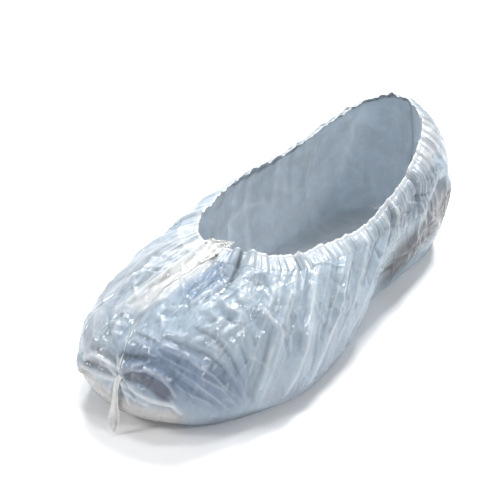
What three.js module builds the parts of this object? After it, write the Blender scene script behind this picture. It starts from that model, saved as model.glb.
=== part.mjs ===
// Disposable shoe cover of thin film, drawn up by elastic round its gathered mouth,
// in the open shape that it has in use, standing on its sole.
// Millimetres, +Z up, toe towards -Y, heel towards +Y, near side towards +X.
import * as THREE from 'three';

// Walls and gaps
const FILM = 1.4;
const HEM_WALL = 1.0;
const GAP = 0.5;

// Hem and elastic
const HEM_DEPTH = 10;
const ELASTIC_HEIGHT = 2.0;
const HEM_SHOULDER = 1.6;
const HEM_CROWN_HALF = 0.8;
// Side of the hem's section along the film's inner face, split as that face is
const HEM_INNER_SIDE = 6;

// Gathers round the mouth
const GATHERS = 40;
const COLUMNS_PER_GATHER = 3;
const GATHER_SLOPE = 0.13;
const GATHER_FADE = 26;
// Repeatable unevenness from gather to gather, and the two rates that mix in it
const UNEVEN_AMOUNT = 0.4;
const UNEVEN_SLOW = 2.4;
const UNEVEN_FAST = 5.3;

// Rows of the upper from the hem's edge to the foot line, as shares of that way
const UPPER_SHARES = [0, 0.1, 0.21, 0.32, 0.43, 0.54, 0.63, 0.7, 0.77, 0.88, 1];
const DEPTH_TOLERANCE = 0.0001;

// Sole: shares across from the near foot line to the far one, and the toe's rise
const SOLE_SHARES = [0, 0.12, 0.32, 0.5, 0.68, 0.88, 1];
const TOE_RISE = 9;
const TOE_RISE_FROM = -88;
const TOE_RISE_LENGTH = 62;

// Stations round the cover, in one turn from the toe seam by the near side. The
// foot line is where the upper turns under, the rim is the film's top edge. The
// film leaves the rim flat for a crown, swells past the foot line by a belly and
// comes down on it from a rise above.
const STATIONS = table(
  ['name', 'turn', 'footX', 'footY', 'footZ', 'rimX', 'rimY', 'rimZ', 'crown', 'rise', 'belly'],
  [
    ['toe seam', 0.0, 0, -149, 15, 4, -66, 79, 56, 30, 4],
    ['toe near', 0.07, 34, -138, 18, 14, -63, 79, 50, 30, 4],
    ['toe corner near', 0.14, 57, -105, 12, 28, -55, 77, 40, 31, 5],
    ['ball near', 0.22, 67, -61, 4, 42, -36, 74, 30, 30, 7],
    ['waist near', 0.32, 60, 4, 8, 53, 16, 71, 16, 28, 9],
    ['arch near', 0.355, 48, 31, 5, 51, 39, 73, 16, 29, 7],
    ['heel side near', 0.41, 47, 74, 4, 45, 76, 76, 16, 30, 11],
    ['heel near', 0.46, 43, 122, 3, 31, 121, 88, 22, 34, 12],
    ['heel corner near', 0.48, 27, 143, 3, 17, 135, 94, 22, 35, 12],
    ['heel seam', 0.5, 2, 150, 4, 0, 141, 96, 22, 36, 13],
    ['heel corner far', 0.52, -20, 143, 4, -15, 134, 94, 20, 35, 12],
    ['heel far', 0.54, -34, 122, 4, -26, 117, 88, 18, 34, 12],
    ['heel side far', 0.59, -37, 66, 4, -34, 66, 78, 14, 30, 10],
    ['waist far', 0.68, -37, -9, 6, -34, 4, 81, 14, 28, 8],
    ['ball far', 0.78, -48, -78, 5, -25, -44, 83, 28, 30, 6],
    ['toe corner far', 0.86, -48, -119, 13, -17, -60, 81, 40, 33, 7],
    ['toe far', 0.93, -32, -144, 21, -9, -65, 80, 52, 30, 5],
  ],
);
const CROWN_DROP = 0.2;
const CROWN_OUT = 20;

// Long folds that run down from the hem: where they start and end round the
// cover and down the upper, how far they stand out and how wide they are.
const LONG_FOLDS = table(
  ['name', 'fromTurn', 'toTurn', 'fromShare', 'toShare', 'height', 'width'],
  [
    ['toe cap near', 0.12, 0.1, 0.0, 0.75, 2.2, 10],
    ['ball fold', 0.19, 0.15, 0.0, 1.0, 2.4, 10],
    ['ball valley', 0.22, 0.17, 0.05, 1.0, -1.6, 9],
    ['waist fold', 0.29, 0.24, 0.0, 1.0, 2.2, 11],
    ['side fold', 0.36, 0.32, 0.0, 0.9, 1.8, 11],
    ['heel fold near', 0.42, 0.4, 0.05, 1.0, 2.6, 13],
    ['heel valley near', 0.45, 0.435, 0.1, 0.9, -2.2, 11],
    ['heel fold far', 0.57, 0.6, 0.05, 1.0, 2.2, 13],
    ['waist fold far', 0.69, 0.72, 0.0, 1.0, 2.0, 12],
    ['ball fold far', 0.79, 0.83, 0.0, 1.0, 2.2, 11],
    ['toe cap far', 0.87, 0.89, 0.0, 0.8, 2.0, 10],
  ],
);
// Share of a fold's height that is left at its ends, and of all folds' at the foot line
const FOLD_END = 0.35;
const FOOT_LINE_RELIEF = 0.5;

// Dents and swells of the toe: place as distance from the seam towards the near
// side and as share down the upper, half lengths both ways, and how far the film
// stands out there.
const TOE_FORMS = table(
  ['name', 'side', 'share', 'halfSide', 'halfShare', 'height'],
  [
    ['hollow near', 17, 0.78, 22, 0.09, -4.5],
    ['hollow far', -16, 0.79, 16, 0.08, -3.5],
    ['ridge', 18, 0.89, 28, 0.07, 3],
    ['pouch', 8, 1.0, 30, 0.09, 3],
    ['swell near', 30, 0.5, 26, 0.16, 2],
    ['swell far', -24, 0.5, 20, 0.16, 2],
  ],
);
const TOE_TURN_REACH = 0.25;

// Weld fin over the toe, from the tab above the mouth to the end of its allowance.
// Down is measured from the film's top edge, inner and outer from its outer face.
const TAB = table(
  ['name', 'down', 'inner', 'outer', 'thick'],
  [
    ['tab tip', -10.5, 1.0, 3.0, 0.8],
    ['tab shoulder', -8, -1.0, 7.5, 1.0],
    ['tab foot', -4.8, -2.0, 10.0, 1.2],
    ['over the hem', -4.5, 2.2, 9.5, 1.2],
    ['hem face', -1.2, 2.2, 7.5, 1.2],
    ['hem edge', 10.9, 2.2, 4.0, 1.2],
  ],
);
const FIN_HEIGHT = 2.6;
const FIN_THICK = 1.2;
const FIN_FIRST_ROW = 2;
const FIN_LAST_ROW = 9;

// Loose end of the weld, which hangs from the knot: offsets from the knot, width,
// thickness and the turn of its width from straight ahead, in degrees.
const TAIL = table(
  ['name', 'x', 'y', 'z', 'wide', 'thick', 'turn'],
  [
    ['knot', 0, -3.6, -1, 3.6, 2.4, 15],
    ['neck', 0.3, -6.0, -7, 3.4, 1.6, 35],
    ['middle', 0.5, -8.2, -14, 5.2, 1.2, 50],
    ['widest', 0.2, -9.6, -21, 7.0, 1.2, 55],
    ['taper', -0.3, -9.6, -27, 4.6, 1.2, 50],
    ['tip', -0.6, -9.0, -31, 1.4, 1.0, 50],
  ],
);
const HEEL_FIN_HEIGHT = 2.2;

// Finishes
const FILM_FINISH = { color: 0xc9d6e2, roughness: 0.32, metalness: 0 };
const HEM_FINISH = { color: 0xe9eef3, roughness: 0.38, metalness: 0 };
const SEAM_FINISH = { color: 0xefeae2, roughness: 0.36, metalness: 0 };
const ELASTIC_FINISH = { color: 0xf3f2ec, roughness: 0.7, metalness: 0 };

const COLUMNS = GATHERS * COLUMNS_PER_GATHER;
const HALF_TURN_STEPS = 240;
const UP = new THREE.Vector3(0, 0, 1);

/** Rows of plain lists as objects with the columns' names. */
function table(columns, rows) {
  return rows.map((row) => Object.fromEntries(columns.map((name, k) => [name, row[k]])));
}

/** A column of the stations at any turn, on a smooth closed curve through them. */
function around(column, turn) {
  const count = STATIONS.length;
  const whole = Math.floor(turn);
  const at = turn - whole;
  const station = (k) => {
    const lap = Math.floor(k / count);
    const row = STATIONS[k - lap * count];
    return { turn: row.turn + lap, value: row[column] };
  };
  let k = 0;
  while (k + 1 < count && STATIONS[k + 1].turn <= at) k += 1;
  const [before, here, next, after] = [k - 1, k, k + 1, k + 2].map(station);
  const step = next.turn - here.turn;
  const leave = (next.value - before.value) / (next.turn - before.turn);
  const arrive = (after.value - here.value) / (after.turn - here.turn);
  const s = (at - here.turn) / step;
  const held = (1 + 2 * s) * (1 - s) ** 2 * here.value + s * s * (3 - 2 * s) * next.value;
  return held + step * s * (1 - s) * ((1 - s) * leave - s * arrive);
}

/** Foot and rim points with the way out in plan, at one turn. */
function station(turn) {
  const at = (part, where) => {
    const coordinates = ['X', 'Y', 'Z'].map((axis) => around(part + axis, where));
    return new THREE.Vector3(...coordinates);
  };
  const foot = at('foot', turn);
  const rim = at('rim', turn);
  const step = 0.5 / COLUMNS;
  const run = at('foot', turn + step).sub(at('foot', turn - step));
  const out = new THREE.Vector3(run.y, -run.x, 0).normalize();
  return { foot, rim, out };
}

/** The side profile at one turn: a cubic curve from the rim to the foot line. */
function profile(turn) {
  const { foot, rim, out } = station(turn);
  const away = foot.clone().sub(rim).setZ(0).addScaledVector(out, CROWN_OUT).normalize();
  const crown = around('crown', turn);
  const leave = rim.clone().addScaledVector(away, crown).addScaledVector(UP, -CROWN_DROP * crown);
  const arrive = foot.clone().addScaledVector(out, around('belly', turn));
  arrive.addScaledVector(UP, around('rise', turn));
  return new THREE.CubicBezierCurve3(rim, leave, arrive, foot);
}

/** Turns of the columns, evened out over the rim's and the foot line's lengths. */
function evenTurns() {
  const turns = [];
  for (const half of [0, 0.5]) {
    const marks = Array.from({ length: HALF_TURN_STEPS + 1 }, (_, k) => {
      const turn = half + (0.5 * k) / HALF_TURN_STEPS;
      return { turn, ...station(turn) };
    });
    const lengths = ['rim', 'foot'].map((line) => {
      const sums = [0];
      for (let k = 1; k < marks.length; k += 1) {
        sums.push(sums[k - 1] + marks[k][line].distanceTo(marks[k - 1][line]));
      }
      return sums.map((sum) => sum / sums[HALF_TURN_STEPS]);
    });
    const even = lengths[0].map((share, k) => 0.5 * (share + lengths[1][k]));
    for (let column = 0; column < COLUMNS / 2; column += 1) {
      const share = column / (COLUMNS / 2);
      let k = 1;
      while (even[k] < share) k += 1;
      const within = (share - even[k - 1]) / (even[k] - even[k - 1]);
      turns.push(marks[k - 1].turn + (within * 0.5) / HALF_TURN_STEPS);
    }
  }
  return turns;
}

/** How far down a profile the point at a given distance from the rim lies. */
function shareAtDepth(curve, depth) {
  let low = 0;
  let high = 1;
  while (high - low > DEPTH_TOLERANCE) {
    const middle = (low + high) / 2;
    if (curve.getPoint(middle).distanceTo(curve.v0) < depth) low = middle;
    else high = middle;
  }
  return low;
}

/** Smooth bump: 1 at the middle, 0 from one half length away. */
function bump(distance, halfLength) {
  const share = Math.min(Math.abs(distance / halfLength), 1);
  return (1 - share * share) ** 2;
}

/** Shortest way round from one turn to another. */
function turnFrom(turn, other) {
  return turn - other - Math.round(turn - other);
}

/** Share of the usual height that one gather has, more or less than 1. */
function uneven(gather) {
  return 1 + UNEVEN_AMOUNT * Math.sin(gather * UNEVEN_SLOW) * Math.cos(gather * UNEVEN_FAST);
}

/** How far the folds, dents and swells move the film out at a point. */
function relief(turn, share, girth, side) {
  let height = 0;
  for (const fold of LONG_FOLDS) {
    const along = (share - fold.fromShare) / (fold.toShare - fold.fromShare);
    if (along < 0 || along > 1) continue;
    const line = fold.fromTurn + along * (fold.toTurn - fold.fromTurn);
    const arch = 4 * along * (1 - along);
    const tall = fold.height * Math.min(1, FOLD_END + arch);
    height += tall * bump(turnFrom(turn, line) * girth, fold.width);
  }
  if (Math.abs(turnFrom(turn, 0)) < TOE_TURN_REACH) {
    for (const form of TOE_FORMS) {
      const across = bump(side - form.side, form.halfSide);
      height += form.height * across * bump(share - form.share, form.halfShare);
    }
  }
  return height;
}

/** Height of the sole's underside, level but for the rise under the toe. */
function underside(y) {
  const ahead = Math.max(0, (TOE_RISE_FROM - y) / TOE_RISE_LENGTH);
  return TOE_RISE * ahead * ahead;
}

/** Rows of points of the upper, rim first and foot line last. */
function upperRows(turns) {
  const curves = turns.map(profile);
  const hems = curves.map((curve) => shareAtDepth(curve, HEM_DEPTH));
  const rim = curves.map((curve) => curve.v0.clone());
  const rest = UPPER_SHARES.map((share) =>
    curves.map((curve, column) => curve.getPoint(hems[column] + share * (1 - hems[column]))),
  );
  return [rim, ...rest];
}

/** Points inside the foot line, in strips from the near side to the far side. */
function soleStrips(footLine) {
  const strips = [];
  for (let column = 1; column < COLUMNS / 2; column += 1) {
    const near = footLine[column];
    const far = footLine[COLUMNS - column];
    strips.push(
      SOLE_SHARES.slice(1, -1).map((share) => {
        const point = near.clone().lerp(far, share);
        return point.setZ(underside(point.y));
      }),
    );
  }
  return strips;
}

/** Triangles of one skin, upper and sole, with the sole's strips after the rows. */
function skinFaces(rowCount) {
  const faces = [];
  const quad = (a, b, c, d) => faces.push([a, b, c], [a, c, d]);
  for (let row = 0; row + 1 < rowCount; row += 1) {
    for (let column = 0; column < COLUMNS; column += 1) {
      const next = (column + 1) % COLUMNS;
      const [top, below] = [row * COLUMNS, (row + 1) * COLUMNS];
      quad(top + column, below + column, below + next, top + next);
    }
  }
  const foot = (rowCount - 1) * COLUMNS;
  const across = SOLE_SHARES.length - 1;
  const sole = (column, k) => {
    if (k === 0) return foot + column;
    if (k === across) return foot + COLUMNS - column;
    return rowCount * COLUMNS + (column - 1) * (across - 1) + k - 1;
  };
  const last = COLUMNS / 2 - 1;
  for (let k = 0; k < across; k += 1) {
    faces.push([foot, sole(1, k + 1), sole(1, k)]);
    faces.push([sole(last, k), sole(last, k + 1), foot + COLUMNS / 2]);
    for (let column = 1; column < last; column += 1) {
      quad(sole(column, k), sole(column, k + 1), sole(column + 1, k + 1), sole(column + 1, k));
    }
  }
  return faces;
}

/** Unit normals of a skin's points, from the triangles that meet there. */
function skinNormals(points, faces) {
  const normals = points.map(() => new THREE.Vector3());
  for (const face of faces) {
    const [a, b, c] = face.map((k) => points[k]);
    const normal = b.clone().sub(a).cross(c.clone().sub(a));
    face.forEach((k) => normals[k].add(normal));
  }
  return normals.map((normal) => normal.normalize());
}

/** Length of a closed row of points. */
function ringLength(row) {
  return row.reduce((sum, point, k) => sum + point.distanceTo(row[(k + 1) % row.length]), 0);
}

/** The film's outer and inner skins with everything that folds them. */
function filmSkins() {
  const turns = evenTurns();
  const rows = upperRows(turns);
  const points = [...rows.flat(), ...soleStrips(rows.at(-1)).flat()];
  const faces = skinFaces(rows.length);
  const normals = skinNormals(points, faces);
  const heights = points.map(() => 0);
  rows.forEach((row, r) => {
    const girth = ringLength(row);
    const share = r === 0 ? 0 : UPPER_SHARES[r - 1];
    const foldShare = r === rows.length - 1 ? FOOT_LINE_RELIEF : 1;
    row.forEach((point, column) => {
      const next = rows[0][(column + 1) % COLUMNS];
      const width = COLUMNS_PER_GATHER * rows[0][column].distanceTo(next);
      const depth = Math.max(0, point.distanceTo(rows[0][column]) - HEM_DEPTH);
      const gather = GATHER_SLOPE * width * uneven(Math.round(column / COLUMNS_PER_GATHER));
      const wave = Math.cos((2 * Math.PI * column) / COLUMNS_PER_GATHER);
      const side = point.x - row[0].x;
      const folds = foldShare * relief(turns[column], share, girth, side);
      heights[r * COLUMNS + column] = folds + gather * wave * Math.exp(-depth / GATHER_FADE);
    });
  });
  const shifted = (extra) =>
    points.map((point, k) => point.clone().addScaledVector(normals[k], heights[k] + extra));
  return { rowCount: rows.length, faces, normals, outer: shifted(0), inner: shifted(-FILM) };
}

/** A closed mesh of points and triangles, with its faces turned outwards. */
function solid(name, points, faces, finish) {
  const volume = faces.reduce((sum, [a, b, c]) => {
    return sum + points[a].dot(points[b].clone().cross(points[c]));
  }, 0);
  const turned = volume < 0 ? faces.map(([a, b, c]) => [a, c, b]) : faces;
  const geometry = new THREE.BufferGeometry();
  const coordinates = points.flatMap((point) => point.toArray());
  geometry.setAttribute('position', new THREE.Float32BufferAttribute(coordinates, 3));
  geometry.setIndex(turned.flat());
  geometry.computeVertexNormals();
  const mesh = new THREE.Mesh(geometry, new THREE.MeshStandardMaterial(finish));
  mesh.name = name;
  return mesh;
}

/** Triangles between sections of equal size, closed to a ring or capped. */
function sweepFaces(sections, ring, crossed) {
  const size = sections[0].length;
  const faces = [];
  const spans = ring ? sections.length : sections.length - 1;
  for (let i = 0; i < spans; i += 1) {
    const [here, there] = [i * size, ((i + 1) % sections.length) * size];
    for (let k = 0; k < size; k += 1) {
      const next = (k + 1) % size;
      const corners = [here + k, there + k, there + next, here + next];
      const [a, b, c, d] = k === crossed ? [...corners.slice(1), corners[0]] : corners;
      faces.push([a, b, c], [a, c, d]);
    }
  }
  if (!ring) {
    const end = (sections.length - 1) * size;
    for (let k = 1; k + 1 < size; k += 1) {
      faces.push([0, k, k + 1], [end, end + k + 1, end + k]);
    }
  }
  return faces;
}

/** A swept piece. Its crossed side has its quads split along their other diagonal. */
function sweep(name, sections, ring, finish, crossed = -1) {
  return solid(name, sections.flat(), sweepFaces(sections, ring, crossed), finish);
}

/** The film of upper and sole: one shell, open at the mouth. */
function filmBody({ faces, outer, inner }) {
  const shift = outer.length;
  const inside = faces.map(([a, b, c]) => [a + shift, c + shift, b + shift]);
  const edge = [];
  for (let column = 0; column < COLUMNS; column += 1) {
    const next = (column + 1) % COLUMNS;
    edge.push([column, next, next + shift], [column, next + shift, column + shift]);
  }
  return solid('film_body', [...outer, ...inner], [...faces, ...inside, ...edge], FILM_FINISH);
}

/** Frames of the film's top edge: its faces at the rim and at the hem's depth. */
function rimFrames({ normals, outer, inner }) {
  return Array.from({ length: COLUMNS }, (_, column) => {
    const below = column + COLUMNS;
    return {
      outside: [outer[column], outer[below]],
      inside: [inner[column], inner[below]],
      normal: [normals[column], normals[below]],
      middle: outer[column].clone().lerp(inner[column], 0.5),
      up: outer[column].clone().sub(outer[below]).normalize(),
      upInside: inner[column].clone().sub(inner[below]).normalize(),
    };
  });
}

/** The hem: film folded over the top edge, down both of its faces. */
function hem(frames) {
  const wall = GAP + HEM_WALL;
  const ceiling = 2 * GAP + ELASTIC_HEIGHT;
  const sections = frames.map(({ outside, inside, normal, middle, up, upInside }) => {
    const at = (point, out, rise = 0, n = normal[0], along = up) =>
      point.clone().addScaledVector(n, out).addScaledVector(along, rise);
    return [
      at(outside[1], wall, 0, normal[1]),
      at(outside[0], wall, HEM_SHOULDER),
      at(middle, HEM_CROWN_HALF, ceiling + HEM_WALL),
      at(middle, -HEM_CROWN_HALF, ceiling + HEM_WALL),
      at(inside[0], -wall, HEM_SHOULDER, normal[0], upInside),
      at(inside[1], -wall, 0, normal[1]),
      at(inside[1], -GAP, 0, normal[1]),
      at(inside[0], -GAP, ceiling, normal[0], upInside),
      at(outside[0], GAP, ceiling),
      at(outside[1], GAP, 0, normal[1]),
    ];
  });
  return sweep('hem', sections, true, HEM_FINISH, HEM_INNER_SIDE);
}

/** The flat elastic inside the hem's fold, standing on the film's top edge. */
function elastic(frames) {
  const half = FILM / 2;
  const sections = frames.map(({ normal, middle, up }) =>
    [[half, GAP], [half, GAP + ELASTIC_HEIGHT], [-half, GAP + ELASTIC_HEIGHT], [-half, GAP]].map(
      ([out, rise]) => middle.clone().addScaledVector(normal[0], out).addScaledVector(up, rise),
    ),
  );
  return sweep('elastic', sections, true, ELASTIC_FINISH);
}

/** Four corners of a thin strip between two edges. */
function stripSection(inner, outer, across, thick) {
  const half = across.clone().multiplyScalar(thick / 2);
  const corner = (edge, side) => edge.clone().addScaledVector(half, side);
  return [corner(inner, 1), corner(outer, 1), corner(outer, -1), corner(inner, -1)];
}

/** Sections of a weld fin that stands on one column of the film, row by row. */
function finSections({ outer, normals }, column, rows, height) {
  return rows.map((row) => {
    const k = row * COLUMNS + column;
    const inner = outer[k].clone().addScaledVector(normals[k], GAP);
    const edge = outer[k].clone().addScaledVector(normals[k], height);
    const run = outer[k + COLUMNS].clone().sub(outer[k]);
    return stripSection(inner, edge, run.cross(normals[k]).normalize(), FIN_THICK);
  });
}

/** Numbers of the rows that a weld fin crosses, from the hem's edge to its last row. */
function rowsTo(last) {
  return Array.from({ length: last - FIN_FIRST_ROW + 1 }, (_, k) => FIN_FIRST_ROW + k);
}

/** The weld over the toe with its tab at the mouth and its loose end. */
function toeSeam(skins, frames) {
  const { outside, normal, up } = frames[0];
  const run = up.clone().negate();
  const across = run.clone().cross(normal[0]).normalize();
  const tab = TAB.map(({ down, inner, outer, thick }) => {
    const share = Math.max(0, down) / HEM_DEPTH;
    const foot = outside[0].clone().lerp(outside[1], share).addScaledVector(run, Math.min(0, down));
    const n = normal[0].clone().lerp(normal[1], share).normalize();
    const edge = (out) => foot.clone().addScaledVector(n, out);
    return stripSection(edge(inner), edge(outer), across, thick);
  });
  const fin = finSections(skins, 0, rowsTo(FIN_LAST_ROW), FIN_HEIGHT);
  const knot = skins.outer[FIN_LAST_ROW * COLUMNS];
  const tail = TAIL.map(({ x, y, z, wide, thick, turn }) => {
    const centre = knot.clone().add(new THREE.Vector3(x, y, z));
    const angle = THREE.MathUtils.degToRad(turn);
    const widely = new THREE.Vector3(Math.sin(angle), -Math.cos(angle), 0);
    const thinly = new THREE.Vector3(-Math.cos(angle), -Math.sin(angle), 0);
    const edge = (share) => centre.clone().addScaledVector(widely, share * wide);
    return stripSection(edge(-0.5), edge(0.5), thinly, thick);
  });
  return sweep('toe_seam', [...tab, ...fin, ...tail], false, SEAM_FINISH);
}

/** The plain weld up the back of the heel, down to the row above the foot line. */
function heelSeam(skins) {
  const rows = rowsTo(skins.rowCount - 2);
  const sections = finSections(skins, COLUMNS / 2, rows, HEEL_FIN_HEIGHT);
  return sweep('heel_seam', sections, false, SEAM_FINISH);
}

/** The whole cover, set with its box's bottom centre on the origin. */
function shoeCover() {
  const skins = filmSkins();
  const frames = rimFrames(skins);
  const body = [filmBody(skins), hem(frames), elastic(frames)];
  const pieces = [...body, toeSeam(skins, frames), heelSeam(skins)];
  const group = new THREE.Group().add(...pieces);
  const box = new THREE.Box3().setFromObject(group);
  const centre = box.getCenter(new THREE.Vector3());
  for (const piece of pieces) piece.geometry.translate(-centre.x, -centre.y, -box.min.z);
  return group;
}

export default shoeCover();
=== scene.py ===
"""Disposable shoe cover of thin creased film, in its worn shape on a pale studio floor.

Every size in the tables is in millimetres, on the same stations as the solid model, and
becomes metres when a mesh is made. Round the cover, a place is a turn from 0 at the toe
seam, by the near side, to 0.5 at the heel and back. Down the film, a place is a share
from 0 at the hem's lower edge to 1 at the foot line.
"""

import logging
import math
from dataclasses import dataclass, field
from enum import Enum
from typing import Sequence

import bpy
import numpy as np
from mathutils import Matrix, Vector


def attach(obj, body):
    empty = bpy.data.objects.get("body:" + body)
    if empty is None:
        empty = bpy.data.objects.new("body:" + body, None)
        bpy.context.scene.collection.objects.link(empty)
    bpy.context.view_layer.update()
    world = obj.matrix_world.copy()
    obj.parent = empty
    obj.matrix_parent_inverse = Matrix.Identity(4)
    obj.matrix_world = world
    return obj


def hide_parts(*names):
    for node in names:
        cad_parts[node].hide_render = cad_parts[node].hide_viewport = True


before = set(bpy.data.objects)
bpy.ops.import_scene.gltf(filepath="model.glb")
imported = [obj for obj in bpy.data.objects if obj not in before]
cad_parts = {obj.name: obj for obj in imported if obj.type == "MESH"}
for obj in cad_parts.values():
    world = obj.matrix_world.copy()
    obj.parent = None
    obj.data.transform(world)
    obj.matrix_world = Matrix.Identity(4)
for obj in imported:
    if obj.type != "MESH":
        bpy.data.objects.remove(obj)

LOG = logging.getLogger("shoe_cover")
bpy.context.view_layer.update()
MM = 0.001
SHARP_FROM = 60
Array = np.ndarray
Place = tuple[float, float]
Triple = tuple[float, float, float]
Wave = Triple
Faces = list[tuple[int, ...]]
Socket = bpy.types.NodeSocket
Feed = float | Sequence[float] | Socket


class Fold(Enum):
    """How the film stands across a crease's line."""

    RIDGE = "sharp crest that stands out"
    VALLEY = "sharp line that sinks in"
    SWELL = "soft crest that stands out"
    HOLLOW = "soft trough that sinks in"
    LIP = "one side stands over the other"


@dataclass(frozen=True)
class Station:
    """One place round the cover: the ends and the form of its side profile, in mm."""

    name: str
    turn: float
    foot: Triple
    rim: Triple
    crown: float
    rise: float
    belly: float


@dataclass(frozen=True)
class Crease:
    """One crease: its kind, height and half width in mm, and its line of places."""

    name: str
    kind: Fold
    height: float
    width: float
    line: tuple[Place, ...]


@dataclass(frozen=True)
class Tone:
    """A patch of the film that is seen in another colour, with soft edges; some patches are painted shade
    and some painted highlight.
    """

    name: str
    line: tuple[Place, ...]
    reach: float
    colour: Triple
    strength: float
    edge: float = 1.25


def places(*thousandths: int) -> tuple[Place, ...]:
    """A line of places from whole numbers: turn and share by turns, in thousandths.

    Args:
        thousandths: Turn, share, turn, share and so on.

    Returns:
        One place for each pair.
    """
    turns, shares = thousandths[::2], thousandths[1::2]
    return tuple((turn / 1000, share / 1000) for turn, share in zip(turns, shares))


STATIONS: tuple[Station, ...] = (
    Station("toe seam", 0.00, (0, -149, 15), (4, -66, 79), 56, 30, 4),
    Station("toe near", 0.07, (34, -138, 18), (14, -63, 79), 50, 30, 4),
    Station("toe corner near", 0.14, (57, -105, 12), (28, -55, 77), 40, 31, 5),
    Station("ball near", 0.22, (67, -61, 4), (42, -36, 74), 30, 30, 7),
    Station("waist near", 0.32, (60, 4, 8), (53, 16, 71), 16, 28, 9),
    Station("arch near", 0.355, (48, 31, 5), (51, 39, 73), 16, 29, 7),
    Station("heel side near", 0.41, (47, 74, 4), (45, 76, 76), 16, 30, 11),
    Station("heel near", 0.46, (43, 122, 3), (31, 121, 88), 22, 34, 12),
    Station("heel corner near", 0.48, (27, 143, 3), (17, 135, 94), 22, 35, 12),
    Station("heel seam", 0.50, (2, 150, 4), (0, 141, 96), 22, 36, 13),
    Station("heel corner far", 0.52, (-20, 143, 4), (-15, 134, 94), 20, 35, 12),
    Station("heel far", 0.54, (-34, 122, 4), (-26, 117, 88), 18, 34, 12),
    Station("heel side far", 0.59, (-37, 66, 4), (-34, 66, 78), 14, 30, 10),
    Station("waist far", 0.68, (-37, -9, 6), (-34, 4, 81), 14, 28, 8),
    Station("ball far", 0.78, (-48, -78, 5), (-25, -44, 83), 28, 30, 6),
    Station("toe corner far", 0.86, (-48, -119, 13), (-17, -60, 81), 40, 33, 7),
    Station("toe far", 0.93, (-32, -144, 21), (-9, -65, 80), 52, 30, 5),
)

R, V, S, H, L = Fold.RIDGE, Fold.VALLEY, Fold.SWELL, Fold.HOLLOW, Fold.LIP

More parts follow.
